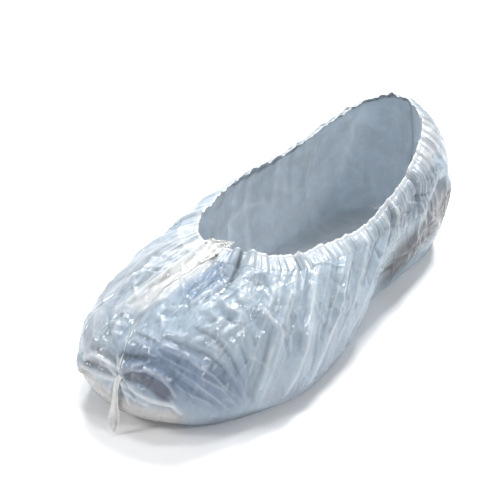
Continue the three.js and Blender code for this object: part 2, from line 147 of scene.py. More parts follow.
CREASES: tuple[Crease, ...] = (
    # Round the knot at the toe
    Crease("hollow near", H, 1.9, 6, places(6, 735, 24, 730, 42, 770, 58, 840)),
    Crease(
        "hollow near, upper lip", R, 1.4, 1.8, places(2, 720, 12, 685, 30, 655, 46, 690, 58, 760, 66, 850)
    ),
    Crease("ridge near", R, 2.6, 2.4, places(0, 785, 20, 820, 40, 860, 63, 910)),
    Crease("ridge near, second", R, 2.0, 1.8, places(4, 825, 22, 870, 40, 905)),
    Crease("ridge end", R, 1.8, 2, places(62, 870, 68, 940, 74, 990)),
    Crease("hollow far", H, 1.8, 6, places(948, 850, 957, 795, 970, 770, 988, 765)),
    Crease("band over the far hollow", R, 2.2, 2.4, places(942, 830, 955, 750, 975, 710, 995, 725)),
    Crease("band under the far hollow", R, 2.2, 2.4, places(942, 880, 960, 850, 980, 810, 997, 780)),
    Crease("trough over the far band", H, 1.6, 6, places(955, 690, 972, 660, 990, 665)),
    Crease("dent over the knot", V, 1.8, 4, places(990, 612, 3, 605, 22, 583)),
    Crease("facet over the knot", S, 1.2, 6, places(3, 650, 22, 635)),
    Crease("ray near", R, 0.8, 2.2, places(0, 700, 12, 655, 28, 610)),
    Crease("V near the seam, one", R, 1.1, 2.4, places(948, 450, 965, 520, 988, 610)),
    Crease("V near the seam, two", V, 0.9, 2.4, places(942, 490, 962, 555, 986, 625)),
    Crease("ray far, one", R, 0.7, 2, places(985, 800, 972, 880, 962, 960)),
    Crease("ray far, two", R, 0.7, 2, places(990, 810, 982, 900, 976, 990)),
    Crease("ray far, three", V, 0.6, 2, places(975, 820, 958, 890, 940, 940)),
    Crease("knot ray, one", R, 1.2, 1.3, places(4, 765, 20, 800, 35, 835)),
    Crease("knot ray, two", V, 1.0, 1.3, places(4, 770, 16, 830, 28, 900)),
    Crease("knot ray, three", R, 1.3, 1.3, places(2, 780, 10, 860, 16, 940)),
    Crease("knot ray, four", R, 1.3, 1.3, places(996, 780, 990, 860, 986, 950)),
    Crease("knot ray, five", R, 1.6, 1.3, places(996, 760, 980, 750, 965, 760)),
    Crease("knot ray, six", V, 1.2, 1.3, places(997, 745, 985, 715, 970, 700)),
    Crease("knot ray, seven", R, 1.5, 1.3, places(998, 740, 992, 690, 984, 640)),
    Crease("knot ray, eight", V, 1.0, 1.3, places(2, 735, 10, 700, 22, 660)),
    Crease("pouch", S, 3.0, 16, places(970, 990, 20, 1000, 50, 990)),
    Crease("corner far", R, 2.2, 4, places(918, 860, 930, 900, 940, 970)),
    # Arcs from the toe's top to the near side
    Crease("arc, first", V, 1.3, 2.6, places(30, 455, 60, 480, 85, 535, 105, 620, 120, 750, 135, 920)),
    Crease("arc, first crest", R, 0.9, 2.6, places(30, 435, 60, 455, 88, 515, 109, 600, 124, 740)),
    Crease("arc, second", V, 1.2, 2.4, places(62, 380, 85, 420, 100, 480, 115, 580, 130, 750, 140, 900)),
    Crease("arc, second crest", R, 0.8, 2.4, places(66, 365, 90, 405, 105, 470, 120, 570)),
    Crease("fan, one", R, 0.9, 2.2, places(30, 510, 70, 570, 100, 690, 125, 870)),
    Crease("fan, two", R, 0.8, 2.2, places(40, 570, 80, 660, 110, 790, 126, 940)),
    Crease("fan, three", R, 0.8, 2.2, places(50, 620, 80, 710, 105, 860, 118, 960)),
    Crease("fan, four", V, 0.7, 2.2, places(55, 670, 80, 760, 100, 870, 110, 960)),
    Crease("fan, five", R, 0.7, 2.2, places(62, 740, 75, 790, 95, 870, 105, 950)),
    Crease("fan, six", V, 0.8, 2.4, places(90, 620, 112, 750, 128, 920)),
    Crease("rung, one", R, 0.6, 1.8, places(990, 455, 10, 452, 30, 460)),
    Crease("rung, two", V, 0.6, 1.8, places(988, 475, 10, 478, 35, 490)),
    Crease("rung, three", R, 0.6, 1.8, places(990, 510, 10, 510, 30, 530)),
    Crease("rung, four", R, 0.7, 1.8, places(992, 545, 15, 550, 35, 570)),
    Crease("sparkle near, one", R, 1.0, 2, places(28, 410, 45, 425, 60, 455)),
    Crease("sparkle near, two", R, 1.0, 2, places(30, 485, 40, 500, 55, 520)),
    Crease("sparkle far, one", R, 1.0, 2, places(945, 440, 955, 410, 972, 385)),
    Crease("sparkle far, two", R, 1.0, 2, places(945, 530, 958, 500, 975, 470)),
    Crease("sparkle far, three", R, 0.9, 2, places(950, 550, 965, 540, 978, 515)),
    # Top of the toe, below the hem
    Crease("notch", V, 3.6, 3.4, places(102, -120, 93, 0, 85, 110, 80, 180)),
    Crease("notch, near lobe", S, 1.8, 6, places(112, -80, 106, 50)),
    Crease("notch, seam lobe", S, 1.8, 6, places(82, -80, 72, 60)),
    Crease("streak", R, 1.7, 2.6, places(42, 250, 55, 190, 71, 105)),
    Crease("streak, under", H, 1.2, 6, places(30, 200, 45, 120, 55, 30)),
    Crease("little bay", H, 0.8, 4, places(8, 325, 26, 310, 40, 280)),
    Crease("little bay, left edge", R, 1.0, 2, places(7, 285, 3, 330, 11, 362)),
    Crease("little bay, top edge", R, 0.8, 2, places(8, 285, 25, 285, 42, 255)),
    Crease("facet a", R, 1.5, 2.2, places(80, 195, 98, 260, 115, 285)),
    Crease("facet b", R, 1.5, 2.2, places(115, 285, 112, 360, 95, 435)),
    Crease("facet c", R, 1.3, 2.2, places(74, 285, 90, 330, 84, 420)),
    Crease("facet d", V, 1.3, 2.2, places(92, 300, 104, 335, 114, 370)),
    Crease("facet e", R, 1.4, 2, places(108, 60, 107, 150, 111, 220)),
    Crease("facet f", R, 1.2, 2, places(114, 100, 116, 170, 112, 240)),
    Crease("facet g", R, 1.3, 2.2, places(60, 290, 75, 255, 82, 200)),
    Crease("shelf", V, 0.8, 2, places(128, 95, 142, 98, 162, 110)),
    Crease("shelf, left", R, 1.0, 2.4, places(138, 0, 128, 70, 132, 100)),
    Crease("crumple, bright", R, 1.9, 3.4, places(138, 235, 152, 320, 165, 410)),
    Crease("crumple, side", V, 1.2, 3, places(128, 250, 135, 330, 145, 430)),
    Crease("crumple, up", R, 1.4, 2.2, places(156, 120, 158, 200, 150, 280)),
    Crease("crumple, up two", R, 1.5, 2.2, places(170, 100, 166, 200, 160, 300)),
    Crease("crumple, right", R, 1.5, 2.2, places(190, 100, 178, 240, 166, 400)),
    Crease("patch, bright", S, 1.4, 4, places(186, 210, 197, 170)),
    # Long folds of the near side
    Crease("side valley", V, 2.3, 4, places(158, 380, 153, 550, 148, 720, 143, 950)),
    Crease("side crest", R, 2.0, 5, places(170, 340, 162, 500, 156, 650, 149, 850)),
    Crease("side line, one", V, 1.3, 2.6, places(122, 490, 131, 600, 137, 750, 141, 920)),
    Crease("side line, two", V, 1.0, 2.2, places(133, 420, 140, 530, 142, 700, 142, 900)),
    Crease(
        "long crest, first", R, 2.8, 6, places(247, -50, 226, 100, 212, 300, 203, 550, 190, 800, 180, 960)
    ),
    Crease("long valley, first", V, 1.4, 4, places(222, 50, 208, 200, 200, 400, 192, 600)),
    Crease(
        "long crest, second", R, 2.6, 7,
        places(287, -40, 269, 200, 257, 400, 241, 600, 226, 760, 214, 930),
    ),
    Crease("long valley, second", V, 1.6, 4, places(262, 50, 250, 250, 240, 420, 225, 600)),
    Crease("long valley, third", V, 1.4, 3.4, places(285, 100, 273, 280, 262, 450, 247, 650)),
    Crease("waist crest", R, 1.6, 4, places(316, -50, 300, 150, 288, 350, 272, 600)),
    Crease("waist valley", V, 2.4, 5, places(337, 0, 320, 140, 309, 300, 298, 450)),
    Crease("waist crest, second", R, 2.2, 5, places(354, -100, 343, 80, 338, 200, 325, 360)),
    Crease("waist crest, third", R, 2.0, 3, places(380, -120, 366, 60, 357, 220)),
    Crease("waist valley, second", V, 1.8, 4, places(366, -50, 353, 100, 347, 220)),
    Crease("waist tuck", V, 1.8, 3, places(335, 560, 360, 605, 390, 655)),
    Crease("waist tuck, lower", V, 1.6, 3, places(320, 680, 350, 710, 390, 780)),
    # Big soft facets of the heel's near side
    Crease("heel shelf", L, 1.8, 5, places(345, 280, 380, 320, 420, 300, 445, 220)),
    Crease("heel facet, low", S, 2.2, 7, places(360, 620, 400, 630, 430, 520)),
    Crease("heel facet, back", V, 2.4, 6, places(425, 420, 440, 360, 462, 340)),
    Crease("heel facet, corner", S, 2.0, 5, places(428, 450, 436, 600, 452, 760)),
    Crease("heel fold", S, 2.2, 7, places(440, 40, 452, 250, 462, 500, 462, 720)),
    Crease("heel valley", V, 2.2, 5, places(410, 50, 420, 180, 436, 300)),
    Crease("heel low fold", S, 1.5, 4, places(400, 780, 425, 720, 450, 800)),
    # Far side and back, which are hardly seen
    Crease("far line, one", V, 1.4, 3, places(942, 0, 936, 250, 930, 420)),
    Crease("far line, two", R, 1.3, 3, places(957, 80, 951, 280, 944, 460)),
    Crease("far line, three", R, 1.6, 4, places(930, -20, 918, 250, 908, 500)),
    Crease("far line, four", V, 1.5, 4, places(915, 0, 900, 300, 890, 600)),
    Crease("far line, five", R, 1.6, 4, places(895, 0, 880, 300, 870, 650)),
    Crease("far line, six", R, 1.8, 5, places(870, 0, 855, 350, 845, 800)),
    Crease("far thread, one", R, 1.2, 1.6, places(925, -20, 930, 200, 935, 360)),
    Crease("far thread, two", R, 1.2, 1.6, places(905, -20, 915, 200, 925, 450)),
    Crease("far thread, three", R, 1.1, 1.6, places(940, -20, 943, 150, 945, 300)),
    Crease("far thread, four", R, 1.3, 1.6, places(965, 0, 960, 200, 952, 400)),
    Crease("far thread, five", V, 1.1, 1.6, places(950, 0, 948, 200, 940, 420)),
    Crease("far thread, six", R, 1.2, 1.6, places(885, -20, 895, 250, 910, 500)),
    Crease("far crest, first", R, 2.4, 6, places(830, -50, 820, 400, 820, 900)),
    Crease("far valley, first", V, 1.8, 5, places(810, 0, 800, 400, 795, 800)),
    Crease("far crest, second", R, 2.4, 6, places(780, -50, 760, 400, 770, 900)),
    Crease("far crest, third", R, 2.2, 6, places(720, -50, 715, 350, 730, 800)),
    Crease("far valley, second", V, 1.8, 5, places(690, 0, 690, 400, 700, 750)),
    Crease("far crest, fourth", R, 2.2, 6, places(655, -50, 660, 400, 670, 850)),
    Crease("far facet", R, 2.0, 6, places(610, 500, 640, 420, 670, 500)),
    Crease("heel far crest", R, 2.2, 6, places(600, -50, 595, 300, 605, 700)),
    Crease("heel far valley", V, 2.0, 5, places(570, 50, 565, 350, 575, 700)),
    Crease("back crest, far", R, 1.8, 5, places(535, 50, 530, 400, 540, 850)),
    Crease("back crest, near", R, 1.8, 5, places(478, 50, 483, 400, 478, 850)),
)

# Colours as the eye reads them
FILM_BLUE = (0.74, 0.795, 0.84)
HEM_WHITE = (0.93, 0.94, 0.945)
# Painted highlight: the white that the film's colour goes to along the facets' borders
PAINTED_GLINT_WHITE = (0.94, 0.955, 0.965)
FLOOR_WHITE = (0.965, 0.965, 0.965)
SKY_WHITE = (0.93, 0.94, 0.955)

TONES: tuple[Tone, ...] = (
    # Darker blue: partly the dark shoe's colour seen through the film, partly painted shade on the toe's
    # front
    Tone("deep blue of the toe", places(30, 620, 70, 700, 110, 800), 26, (0.51, 0.585, 0.69), 0.8),
    Tone("blue under the streak", places(30, 140, 45, 80), 15, (0.57, 0.655, 0.75), 0.8),
    Tone("blue of the bay", places(12, 310, 30, 295), 7, (0.64, 0.72, 0.79), 0.5),
    Tone("pale top", places(20, 360, 70, 340), 18, (0.73, 0.79, 0.84), 0.7),
    Tone("grey of the far toe", places(930, 600, 945, 720), 16, (0.80, 0.825, 0.85), 0.7),
    Tone("cream pouch", places(945, 970, 980, 950, 20, 980, 60, 1030), 14, (0.85, 0.83, 0.81), 0.85),
    Tone(
        "shade in the notch",
        places(102, -110, 93, 0, 85, 110, 80, 170),
        1.7, (0.46, 0.51, 0.57), 0.75, edge=1.5,
    ),
    # Painted shade in the hollow by the knot
    Tone(
        "near hollow",
        places(10, 725, 25, 715, 42, 765, 55, 830),
        5.5, (0.54, 0.555, 0.61), 0.85, edge=2.2,
    ),
    # Painted shade in the far hollow
    Tone(
        "far hollow",
        places(950, 845, 957, 800, 970, 775, 983, 765),
        3.6, (0.60, 0.62, 0.65), 0.8, edge=2.2,
    ),
    # Partly film whitened in its fold, partly painted highlight along the crest
    Tone(
        "crest under the near hollow",
        places(0, 785, 20, 820, 40, 860, 63, 910),
        2.2, (0.92, 0.935, 0.955), 0.85, edge=1.5,
    ),
    # Partly film whitened in its folds, partly painted highlight along the bands
    Tone(
        "bands of the far hollow",
        places(942, 830, 955, 750, 975, 710, 995, 725),
        1.9, (0.93, 0.94, 0.95), 0.85, edge=1.5,
    ),
    Tone("pale far corner", places(930, 780, 960, 740, 985, 740), 8, (0.86, 0.875, 0.89), 0.6),
    Tone("dent shade", places(992, 620, 3, 612, 20, 592), 5, (0.47, 0.53, 0.59), 0.85),
    Tone("shade over the far band", places(952, 710, 970, 675, 992, 680), 3.5, (0.62, 0.65, 0.68), 0.7),
    # Partly film whitened in its fold, partly painted highlight along the band
    Tone(
        "band under the far hollow",
        places(945, 880, 960, 850, 980, 810, 997, 780),
        2, (0.93, 0.94, 0.95), 0.8, edge=1.5,
    ),
    Tone("layers at the tab", places(5, -100, 985, 30, 970, 160, 962, 300), 13, (0.93, 0.93, 0.92), 0.9),
    Tone("layers below", places(960, 280, 950, 420), 7, (0.86, 0.88, 0.90), 0.6),
    Tone("top of the crumple", places(100, 200, 150, 250), 16, (0.70, 0.76, 0.81), 0.4),
    Tone("far edge", places(900, 50, 890, 300, 900, 500), 20, (0.84, 0.86, 0.88), 0.6),
    Tone("waist blue", places(200, 550, 270, 500, 330, 450), 30, (0.73, 0.79, 0.84), 0.4),
    Tone("low near side", places(170, 930, 250, 930, 310, 800), 12, (0.70, 0.73, 0.78), 0.5),
    Tone("heel, dark above", places(370, 100, 400, 180, 430, 120), 15, (0.50, 0.55, 0.61), 0.75),
    Tone("heel, light facet", places(350, 420, 400, 430), 15, (0.72, 0.78, 0.82), 0.7),
    Tone("heel, grey below", places(390, 720, 430, 620, 455, 620), 24, (0.37, 0.375, 0.395), 0.9),
    Tone("heel, dark patch", places(438, 440, 450, 400), 9, (0.42, 0.45, 0.50), 0.6),
    Tone("heel edge", places(463, 200, 470, 500), 12, (0.88, 0.895, 0.91), 0.7),
    Tone("heel top", places(435, -80, 455, -20, 475, 100), 12, (0.93, 0.94, 0.95), 0.7),
)


def srgb(colour: Sequence[float]) -> tuple[float, float, float, float]:
    """A colour as the eye reads it, made linear, with an alpha of 1.

    Args:
        colour: Red, green and blue from 0 to 1.

    Returns:
        The linear colour with its alpha.
    """
    linear = [c / 12.92 if c <= 0.04045 else ((c + 0.055) / 1.055) ** 2.4 for c in colour]
    return (linear[0], linear[1], linear[2], 1.0)


def smooth(x: Array) -> Array:
    """Smooth step: 0 below 0, 1 above 1, and 3x^2 - 2x^3 between."""
    x = np.clip(x, 0.0, 1.0)
    return x * x * (3.0 - 2.0 * x)


def waves(phase: Array, parts: Sequence[Wave]) -> Array:
    """Sum of sine waves of a phase, each with its height, count and start.

    Args:
        phase: Where to read the waves, in radians for a count of 1.
        parts: The waves.

    Returns:
        The sum at every phase.
    """
    return sum(height * np.sin(count * phase + start) for height, count, start in parts)


def turn_between(turn: Array | float, other: Array | float) -> Array:
    """Shortest way round from one turn to another, from -0.5 to 0.5."""
    gap = np.asarray(turn) - other
    return gap - np.round(gap)


def unit(vectors: Array) -> Array:
    """The same vectors with a length of 1."""
    return vectors / np.maximum(np.linalg.norm(vectors, axis=-1, keepdims=True), 1e-12)


def near_turn(turn: Array, middle: float, reach: float) -> Array:
    """A bell round one turn: 1 at its middle, e^-1 at its reach."""
    return np.exp(-((turn_between(turn, middle) / reach) ** 2))


def grid_normals(points: Array) -> Array:
    """Unit normals of a grid of points: the way down the rows crossed with the way along.

    Args:
        points: Rows by columns by 3, with the columns against the clock seen from above.

    Returns:
        Rows by columns by 3, outwards.
    """
    return unit(np.cross(np.gradient(points, axis=0), np.gradient(points, axis=1)))


def shifted(grid: Array, step: int, axis: int) -> Array:
    """A grid moved along one axis by whole steps, with its edge repeated."""
    count = grid.shape[axis]
    return np.take(grid, np.clip(np.arange(count) + step, 0, count - 1), axis=axis)


def eroded(grid: Array, reach: int) -> Array:
    """The lowest value within a square of the given reach round every grid point.

    Args:
        grid: Rows by columns.
        reach: Half of the square's side, in grid steps.

    Returns:
        A grid of the same size.
    """
    for axis in (0, 1):
        grid = np.min([shifted(grid, k, axis) for k in range(-reach, reach + 1)], axis=0)
    return grid


def blurred(grid: Array, reach: int) -> Array:
    """The mean of every grid point with its neighbours along both axes."""
    steps = range(-reach, reach + 1)
    return sum(shifted(grid, k, axis) for k in steps for axis in (0, 1)) / (2 * len(steps))


@dataclass
class Form:
    """The smooth body of the cover, before it creases."""

    stations: tuple[Station, ...] = STATIONS
    hem_depth: float = 10.0
    crown_drop: float = 0.2
    crown_out: float = 20.0
    toe_rise: float = 9.0
    toe_rise_from: float = -88.0
    toe_rise_length: float = 62.0
    spine_inset: float = 30.0
    rim_share: float = 0.1
    fine_steps: int = 960
    turn_step: float = 0.004
    hem_search: float = 0.6
    search_steps: int = 120
    foot_curl: float = 4.0

    def __post_init__(self) -> None:
        """Measures the rim, the foot line and the hem's depth at fine steps of the turn."""
        self.marks = np.linspace(0, 1, self.fine_steps + 1)
        self.rim_line = self.line("rim", self.marks)
        self.foot_line = self.line("foot", self.marks)
        self.rim_place = self.lengths(self.rim_line)
        self.foot_place = self.lengths(self.foot_line)
        self.rim_girth = np.linalg.norm(np.diff(self.rim_line, axis=0), axis=1).sum()
        self.hem_marks = self.hem_parameter(self.marks)

    def lengths(self, points: Array) -> Array:
        """Share of a line's length at each of its points, from 0 to 1.

        Args:
            points: The line's points in order, by 3.

        Returns:
            One share for each point.
        """
        steps = np.linalg.norm(np.diff(points, axis=0), axis=1)
        sums = np.concatenate([[0], np.cumsum(steps)])
        return sums / sums[-1]

    def rounded(self, values: Sequence[float], turn: Array) -> Array:
        """Values at the stations, joined by a closed cubic Hermite curve.

        Each station's slope is the chord between its two neighbours, and between two
        stations the value is the cubic with those ends and slopes.

        Args:
            values: One value for each station.
            turn: Where to read the curve, any number of turns.

        Returns:
            The curve's value at each turn.
        """
        turn = np.mod(turn, 1.0)
        turns = np.array([s.turn for s in self.stations])
        value = np.asarray(values, dtype=float)
        knots = np.concatenate([turns[-2:] - 1.0, turns, turns[:3] + 1.0])
        held = np.concatenate([value[-2:], value, value[:3]])
        slope = (held[2:] - held[:-2]) / (knots[2:] - knots[:-2])
        k = np.clip(np.searchsorted(knots, turn, side="right") - 1, 1, len(knots) - 3)
        step = knots[k + 1] - knots[k]
        s = (turn - knots[k]) / step
        start = (1 + 2 * s) * (1 - s) ** 2 * held[k] + s * (1 - s) ** 2 * step * slope[k - 1]
        return start + s * s * (3 - 2 * s) * held[k + 1] - s * s * (1 - s) * step * slope[k]

    def line(self, part: str, turn: Array) -> Array:
        """The rim's or the foot line's points at each turn, in mm."""
        corners = np.array([getattr(s, part) for s in self.stations], dtype=float)
        return np.stack([self.rounded(corners[:, axis], turn) for axis in range(3)], axis=-1)

    def profiles(self, turn: Array) -> tuple[Array, Array, Array, Array]:
        """The four control points of each side profile, a cubic Bezier curve.

        Args:
            turn: Turns, in any shape of array.

        Returns:
            Rim, the end of the crown, the rise over the foot line, and the foot line.
        """
        foot, rim = self.line("foot", turn), self.line("rim", turn)
        run = self.line("foot", turn + self.turn_step) - self.line("foot", turn - self.turn_step)
        out = unit(np.stack([run[..., 1], -run[..., 0], 0 * run[..., 0]], axis=-1))
        flat = (foot - rim) * [1, 1, 0]
        away = unit(flat + self.crown_out * out)
        crown = self.rounded([s.crown for s in self.stations], turn)[..., None]
        belly = self.rounded([s.belly for s in self.stations], turn)[..., None]
        rise = self.rounded([s.rise for s in self.stations], turn)[..., None]
        up = np.array([0.0, 0.0, 1.0])
        leave = rim + crown * (away - self.crown_drop * up)
        arrive = foot + belly * out + rise * up
        return rim, leave, arrive, foot

    def at(self, turn: Array, t: Array) -> Array:
        """Points of the upper: the Bezier curve of each turn at each parameter t.

        Args:
            turn: Turns, in any shape of array.
            t: Parameters from 0 to 1 of a shape that fits.

        Returns:
            Points of the same shape by 3.
        """
        rim, leave, arrive, foot = self.profiles(turn)
        t = np.asarray(t)[..., None]
        return (1 - t) ** 3 * rim + 3 * (1 - t) ** 2 * t * leave + 3 * (1 - t) * t**2 * arrive + t**3 * foot

    def hem_parameter(self, turn: Array) -> Array:
        """Where on each profile the film has come the hem's depth away from the rim.

        Args:
            turn: A row of turns.

        Returns:
            The Bezier parameter at each turn.
        """
        marks = np.linspace(0.0, self.hem_search, self.search_steps + 1)
        points = self.at(turn[None, :], marks[:, None])
        away = np.linalg.norm(points - points[0], axis=-1)
        k = np.argmax(away >= self.hem_depth, axis=0)
        column = np.arange(len(turn))
        before, after = away[k - 1, column], away[k, column]
        return marks[k - 1] + (marks[k] - marks[k - 1]) * (self.hem_depth - before) / (after - before)

    def upper(self, turn: Array, share: Array) -> Array:
        """Points of the upper at turns and shares of the same shape, in mm.

        Args:
            turn: Turn of every point.
            share: Share of every point, below 0 inside the hem.

        Returns:
            Points of the same shape by 3.
        """
        hem = np.interp(np.mod(turn, 1.0), self.marks, self.hem_marks)
        below = hem + share * (1 - hem)
        above = hem * (1 + share / self.rim_share)
        return self.at(turn, np.where(share < 0, np.maximum(above, 0), below))

    def underside(self, y: Array) -> Array:
        """Height of the sole's underside: level, but for a parabola under the toe."""
        ahead = np.maximum(0.0, (self.toe_rise_from - y) / self.toe_rise_length)
        return self.toe_rise * ahead**2

    def spine(self, y: Array) -> Array:
        """The sole's middle line: half way between the near and the far foot line.

        Args:
            y: Places from toe to heel of the foot points that it answers to.

        Returns:
            Points of the middle line, drawn in from both ends by the spine's inset.
        """
        half = self.fine_steps // 2
        near, far = self.foot_line[: half + 1], self.foot_line[half:][::-1]
        low, high = near[0, 1], near[-1, 1]
        drawn = low + self.spine_inset + (y - low) * (high - low - 2 * self.spine_inset) / (high - low)
        x = 0.5 * (np.interp(drawn, near[:, 1], near[:, 0]) + np.interp(drawn, far[:, 1], far[:, 0]))
        return np.stack([x, drawn, self.underside(drawn)], axis=-1)

    def sole(self, foot: Array, rows: int) -> Array:
        """Rows from the foot line to the sole's middle line.

        Args:
            foot: The foot line, columns by 3.
            rows: How many rows to make.

        Returns:
            Rows by columns by 3, without the foot line itself.
        """
        spine = self.spine(foot[:, 1])
        share = np.linspace(0, 1, rows + 1)[1:, None, None]
        points = foot + share * (spine - foot)
        turned = np.exp(-np.linalg.norm((points - foot)[..., :2], axis=-1) / self.foot_curl)
        lifted = foot[..., 2] - self.underside(foot[..., 1])
        points[..., 2] = self.underside(points[..., 1]) + lifted * turned
        return points


@dataclass
class Crumple:
    """Flat facets of chance heights that meet in sharp creases.

    The film is laid out in mm and cut into slanted squares, each split into two triangles.
    Every corner has a chance height, and each triangle is flat between its corners.
    """

    size: float
    height: float
    angle: float
    stretch: float = 1.0
    seed: int = 1
    corners: int = 64
    tallest: float = 1.6
    wander: float = 0.35
    skew: float = 0.45
    winding: tuple[float, float, float, float] = (0.9, 0.37, 0.8, 0.41)

    def heights(self, x: Array, y: Array) -> Array:
        """Height in mm at places x round the film and y down it, both in mm.

        Args:
            x: Place round the film of every point.
            y: Place down the film of every point.

        Returns:
            Height of every point, from -tallest to tallest times the full height.
        """
        chance = np.random.default_rng(self.seed)
        table = chance.standard_normal((self.corners, self.corners))
        table = np.clip(table, -self.tallest, self.tallest)
        bend = chance.uniform(0, 2 * math.pi, 4)
        y = y / self.stretch
        far, size, wind = self.wander * self.size, self.size, self.winding
        x = x + far * (np.sin(y / size * wind[0] + bend[0]) + np.sin(x / size * wind[1] + bend[1]))
        y = y + far * (np.sin(x / size * wind[2] + bend[2]) + np.sin(y / size * wind[3] + bend[3]))
        c, s = math.cos(self.angle) / size, math.sin(self.angle) / size
        u, v = c * x - s * y + self.skew * (s * x + c * y), s * x + c * y
        i, j = np.floor(u).astype(int), np.floor(v).astype(int)
        u, v = u - i, v - j
        here, right, low, across = (
            table[(i + a) % self.corners, (j + b) % self.corners]
            for a, b in ((0, 0), (1, 0), (0, 1), (1, 1))
        )
        upper = here + u * (right - here) + v * (across - right)
        lower = here + v * (low - here) + u * (across - low)
        return self.height * np.where(u > v, upper, lower)


@dataclass
class Relief:
    """Everything that folds, creases and gathers the film, as a height in mm."""

    creases: tuple[Crease, ...] = CREASES
    gathers: int = 98
    pleats: int = 28
    long_pleats: int = 14
    gather_height: float = 0.3
    gather_fade: float = 8.0
    full_gather: float = 4.0
    pleat_height: float = 0.9
    long_height: float = 0.475
    sharp_height: float = 0.25
    sharp_count: float = 1.7
    sharp_fade: float = 0.7
    lean_share: float = 0.8
    pleat_fade: float = 38.0
    scatter_count: int = 820
    gather_swell: float = 0.45
    scatter_upright: float = 0.7
    scatter_fan: float = 0.5
    scatter_length: tuple[float, float] = (8, 30)
    scatter_lift: float = 0.42
    scatter_width: tuple[float, float] = (1.0, 2.6)
    scatter_bow: float = 1.2
    drawn_window: Place = (0.045, 0.2)
    scatter_window: Place = (0.05, 0.22)
    spread: float = 1.9
    line_width: float = 0.78
    full_line: float = 2.0
    wander: float = 0.3
    wander_waves: tuple[float, float] = (6.5, 5.5)
    blunt_end: float = 0.15
    puffs_at: float = 0.096
    puffs_reach: float = 0.024
    puffs_calm: float = 0.8
    uneven: tuple[Wave, ...] = ((0.22, 7, 1.0), (0.16, 17, 2.3), (0.10, 29, 0.0))
    leans: tuple[Place, ...] = places(
        0, 0, 100, 0, 180, 60, 260, 120, 340, 110, 400, 40,
        450, -30, 500, 0, 600, 10, 750, -40, 880, -20, 1000, 0,
    )
    seed: int = 11
    toe_top: Place = (0.11, 0.3)
    toe_reach: Place = (0.09, 0.3)
    heel_side: float = 0.42
    heel_reach: float = 0.06
    crumple_shares: Triple = (0.5, 0.75, 0.4)
    crumples: tuple[Crumple, ...] = (
        Crumple(18, 1.15, 0.5, 1.5, seed=3),
        Crumple(9.0, 0.24, 0.5, 2.6, seed=4),
        Crumple(5.0, 0.04, 0.15, 3.0, seed=5),
    )

    def cross_section(self, kind: Fold, away: Array, side: Array, width: float) -> Array:
        """Height across a crease, from 0 to 1, for a distance away from its line.

        A sharp crease is (1 - d/w)^1.2, a swell is a smooth step, a hollow is one with a
        flat bottom, and a lip falls sharply on one side of the line and runs out softly
        on the other.

        Args:
            kind: The kind of crease.
            away: Distance from the line in mm.
            side: Which side of the line, positive below it.
            width: Half width in mm.

        Returns:
            The share of the crease's height.
        """
        near = np.clip(1 - away / width, 0, 1)
        if kind in (Fold.RIDGE, Fold.VALLEY):
            return near**1.2
        if kind is Fold.LIP:
            far = np.clip(1 - away / (3 * width), 0, 1)
            return np.where(side > 0, -(near**1.3), far**2)
        if kind is Fold.HOLLOW:
            return smooth(near / 0.55)
        return smooth(near)

    def along(
        self, line: Sequence[Place], turn: Array, share: Array, scale: tuple[Array, Array]
    ) -> tuple[Array, Array, Array]:
        """Distance from a line of places, and how far along it the nearest point lies.

        Places become mm by the film's own stretch at each point, so a line drawn on the
        film keeps its width wherever it runs.

        Args:
            line: The line's places.
            turn: Turn of every grid point.
            share: Share of every grid point.
            scale: Millimetres to a turn and to a share at every grid point.

        Returns:
            Distance in mm, side of the line, and the way along it from 0 to 1.
        """
        away = np.full(turn.shape, 1e6)
        side = np.zeros(turn.shape)
        way = np.zeros(turn.shape)
        spans = len(line) - 1
        for k, ((u0, s0), (u1, s1)) in enumerate(zip(line[:-1], line[1:])):
            x, y = turn_between(turn, u0) * scale[0], (share - s0) * scale[1]
            dx, dy = turn_between(u1, u0) * scale[0], (s1 - s0) * scale[1]
            t = np.clip((x * dx + y * dy) / (dx * dx + dy * dy + 1e-9), 0, 1)
            gap = np.hypot(x - t * dx, y - t * dy)
            nearer = gap < away
            away = np.where(nearer, gap, away)
            side = np.where(nearer, dx * y - dy * x, side)
            way = np.where(nearer, (k + t) / spans, way)
        return away, side, way

    def drawn(
        self, turn: Array, share: Array, scale: tuple[Array, Array]
    ) -> tuple[Array, Array, Array]:
        """All the creases in the table, each tapering to its ends.

        Args:
            turn: Turn of every grid point.
            share: Share of every grid point.
            scale: Millimetres to a turn and to a share at every grid point.

        Returns:
            Height in mm, how pale the film is along crests, partly as film whitened in its folds
            and partly as painted highlight, and how dark along valleys and lips, as painted shade.
        """
        height, pale, dark = np.zeros(turn.shape), np.zeros(turn.shape), np.zeros(turn.shape)
        for crease in self.creases:
            rows, columns = window(crease.line, turn, share, *self.drawn_window)
            if not rows.any() or not columns.any():
                continue
            part = np.ix_(rows, columns)
            local = (scale[0][part], scale[1][part])
            across, down = turn[part] * local[0], share[part] * local[1]
            sideways = np.sin(down / self.wander_waves[1] + crease.height * 9)
            lengthways = np.sin(across / self.wander_waves[0] + crease.width * 5)
            bent_turn = turn[part] + self.wander * sideways / local[0]
            bent_share = share[part] + self.wander * lengthways / local[1]
            away, side, way = self.along(crease.line, bent_turn, bent_share, local)
            taper = np.clip(4 * way * (1 - way), 0, 1) ** 0.5
            taper = taper * (1 - self.blunt_end) + self.blunt_end
            sign = -1.0 if crease.kind in (Fold.VALLEY, Fold.HOLLOW) else 1.0
            wide = crease.width * (self.spread if crease.kind in (Fold.RIDGE, Fold.VALLEY) else 1.0)
            section = self.cross_section(crease.kind, away, side, wide * (0.5 + 0.5 * taper))
            height[part] += sign * crease.height * taper * section
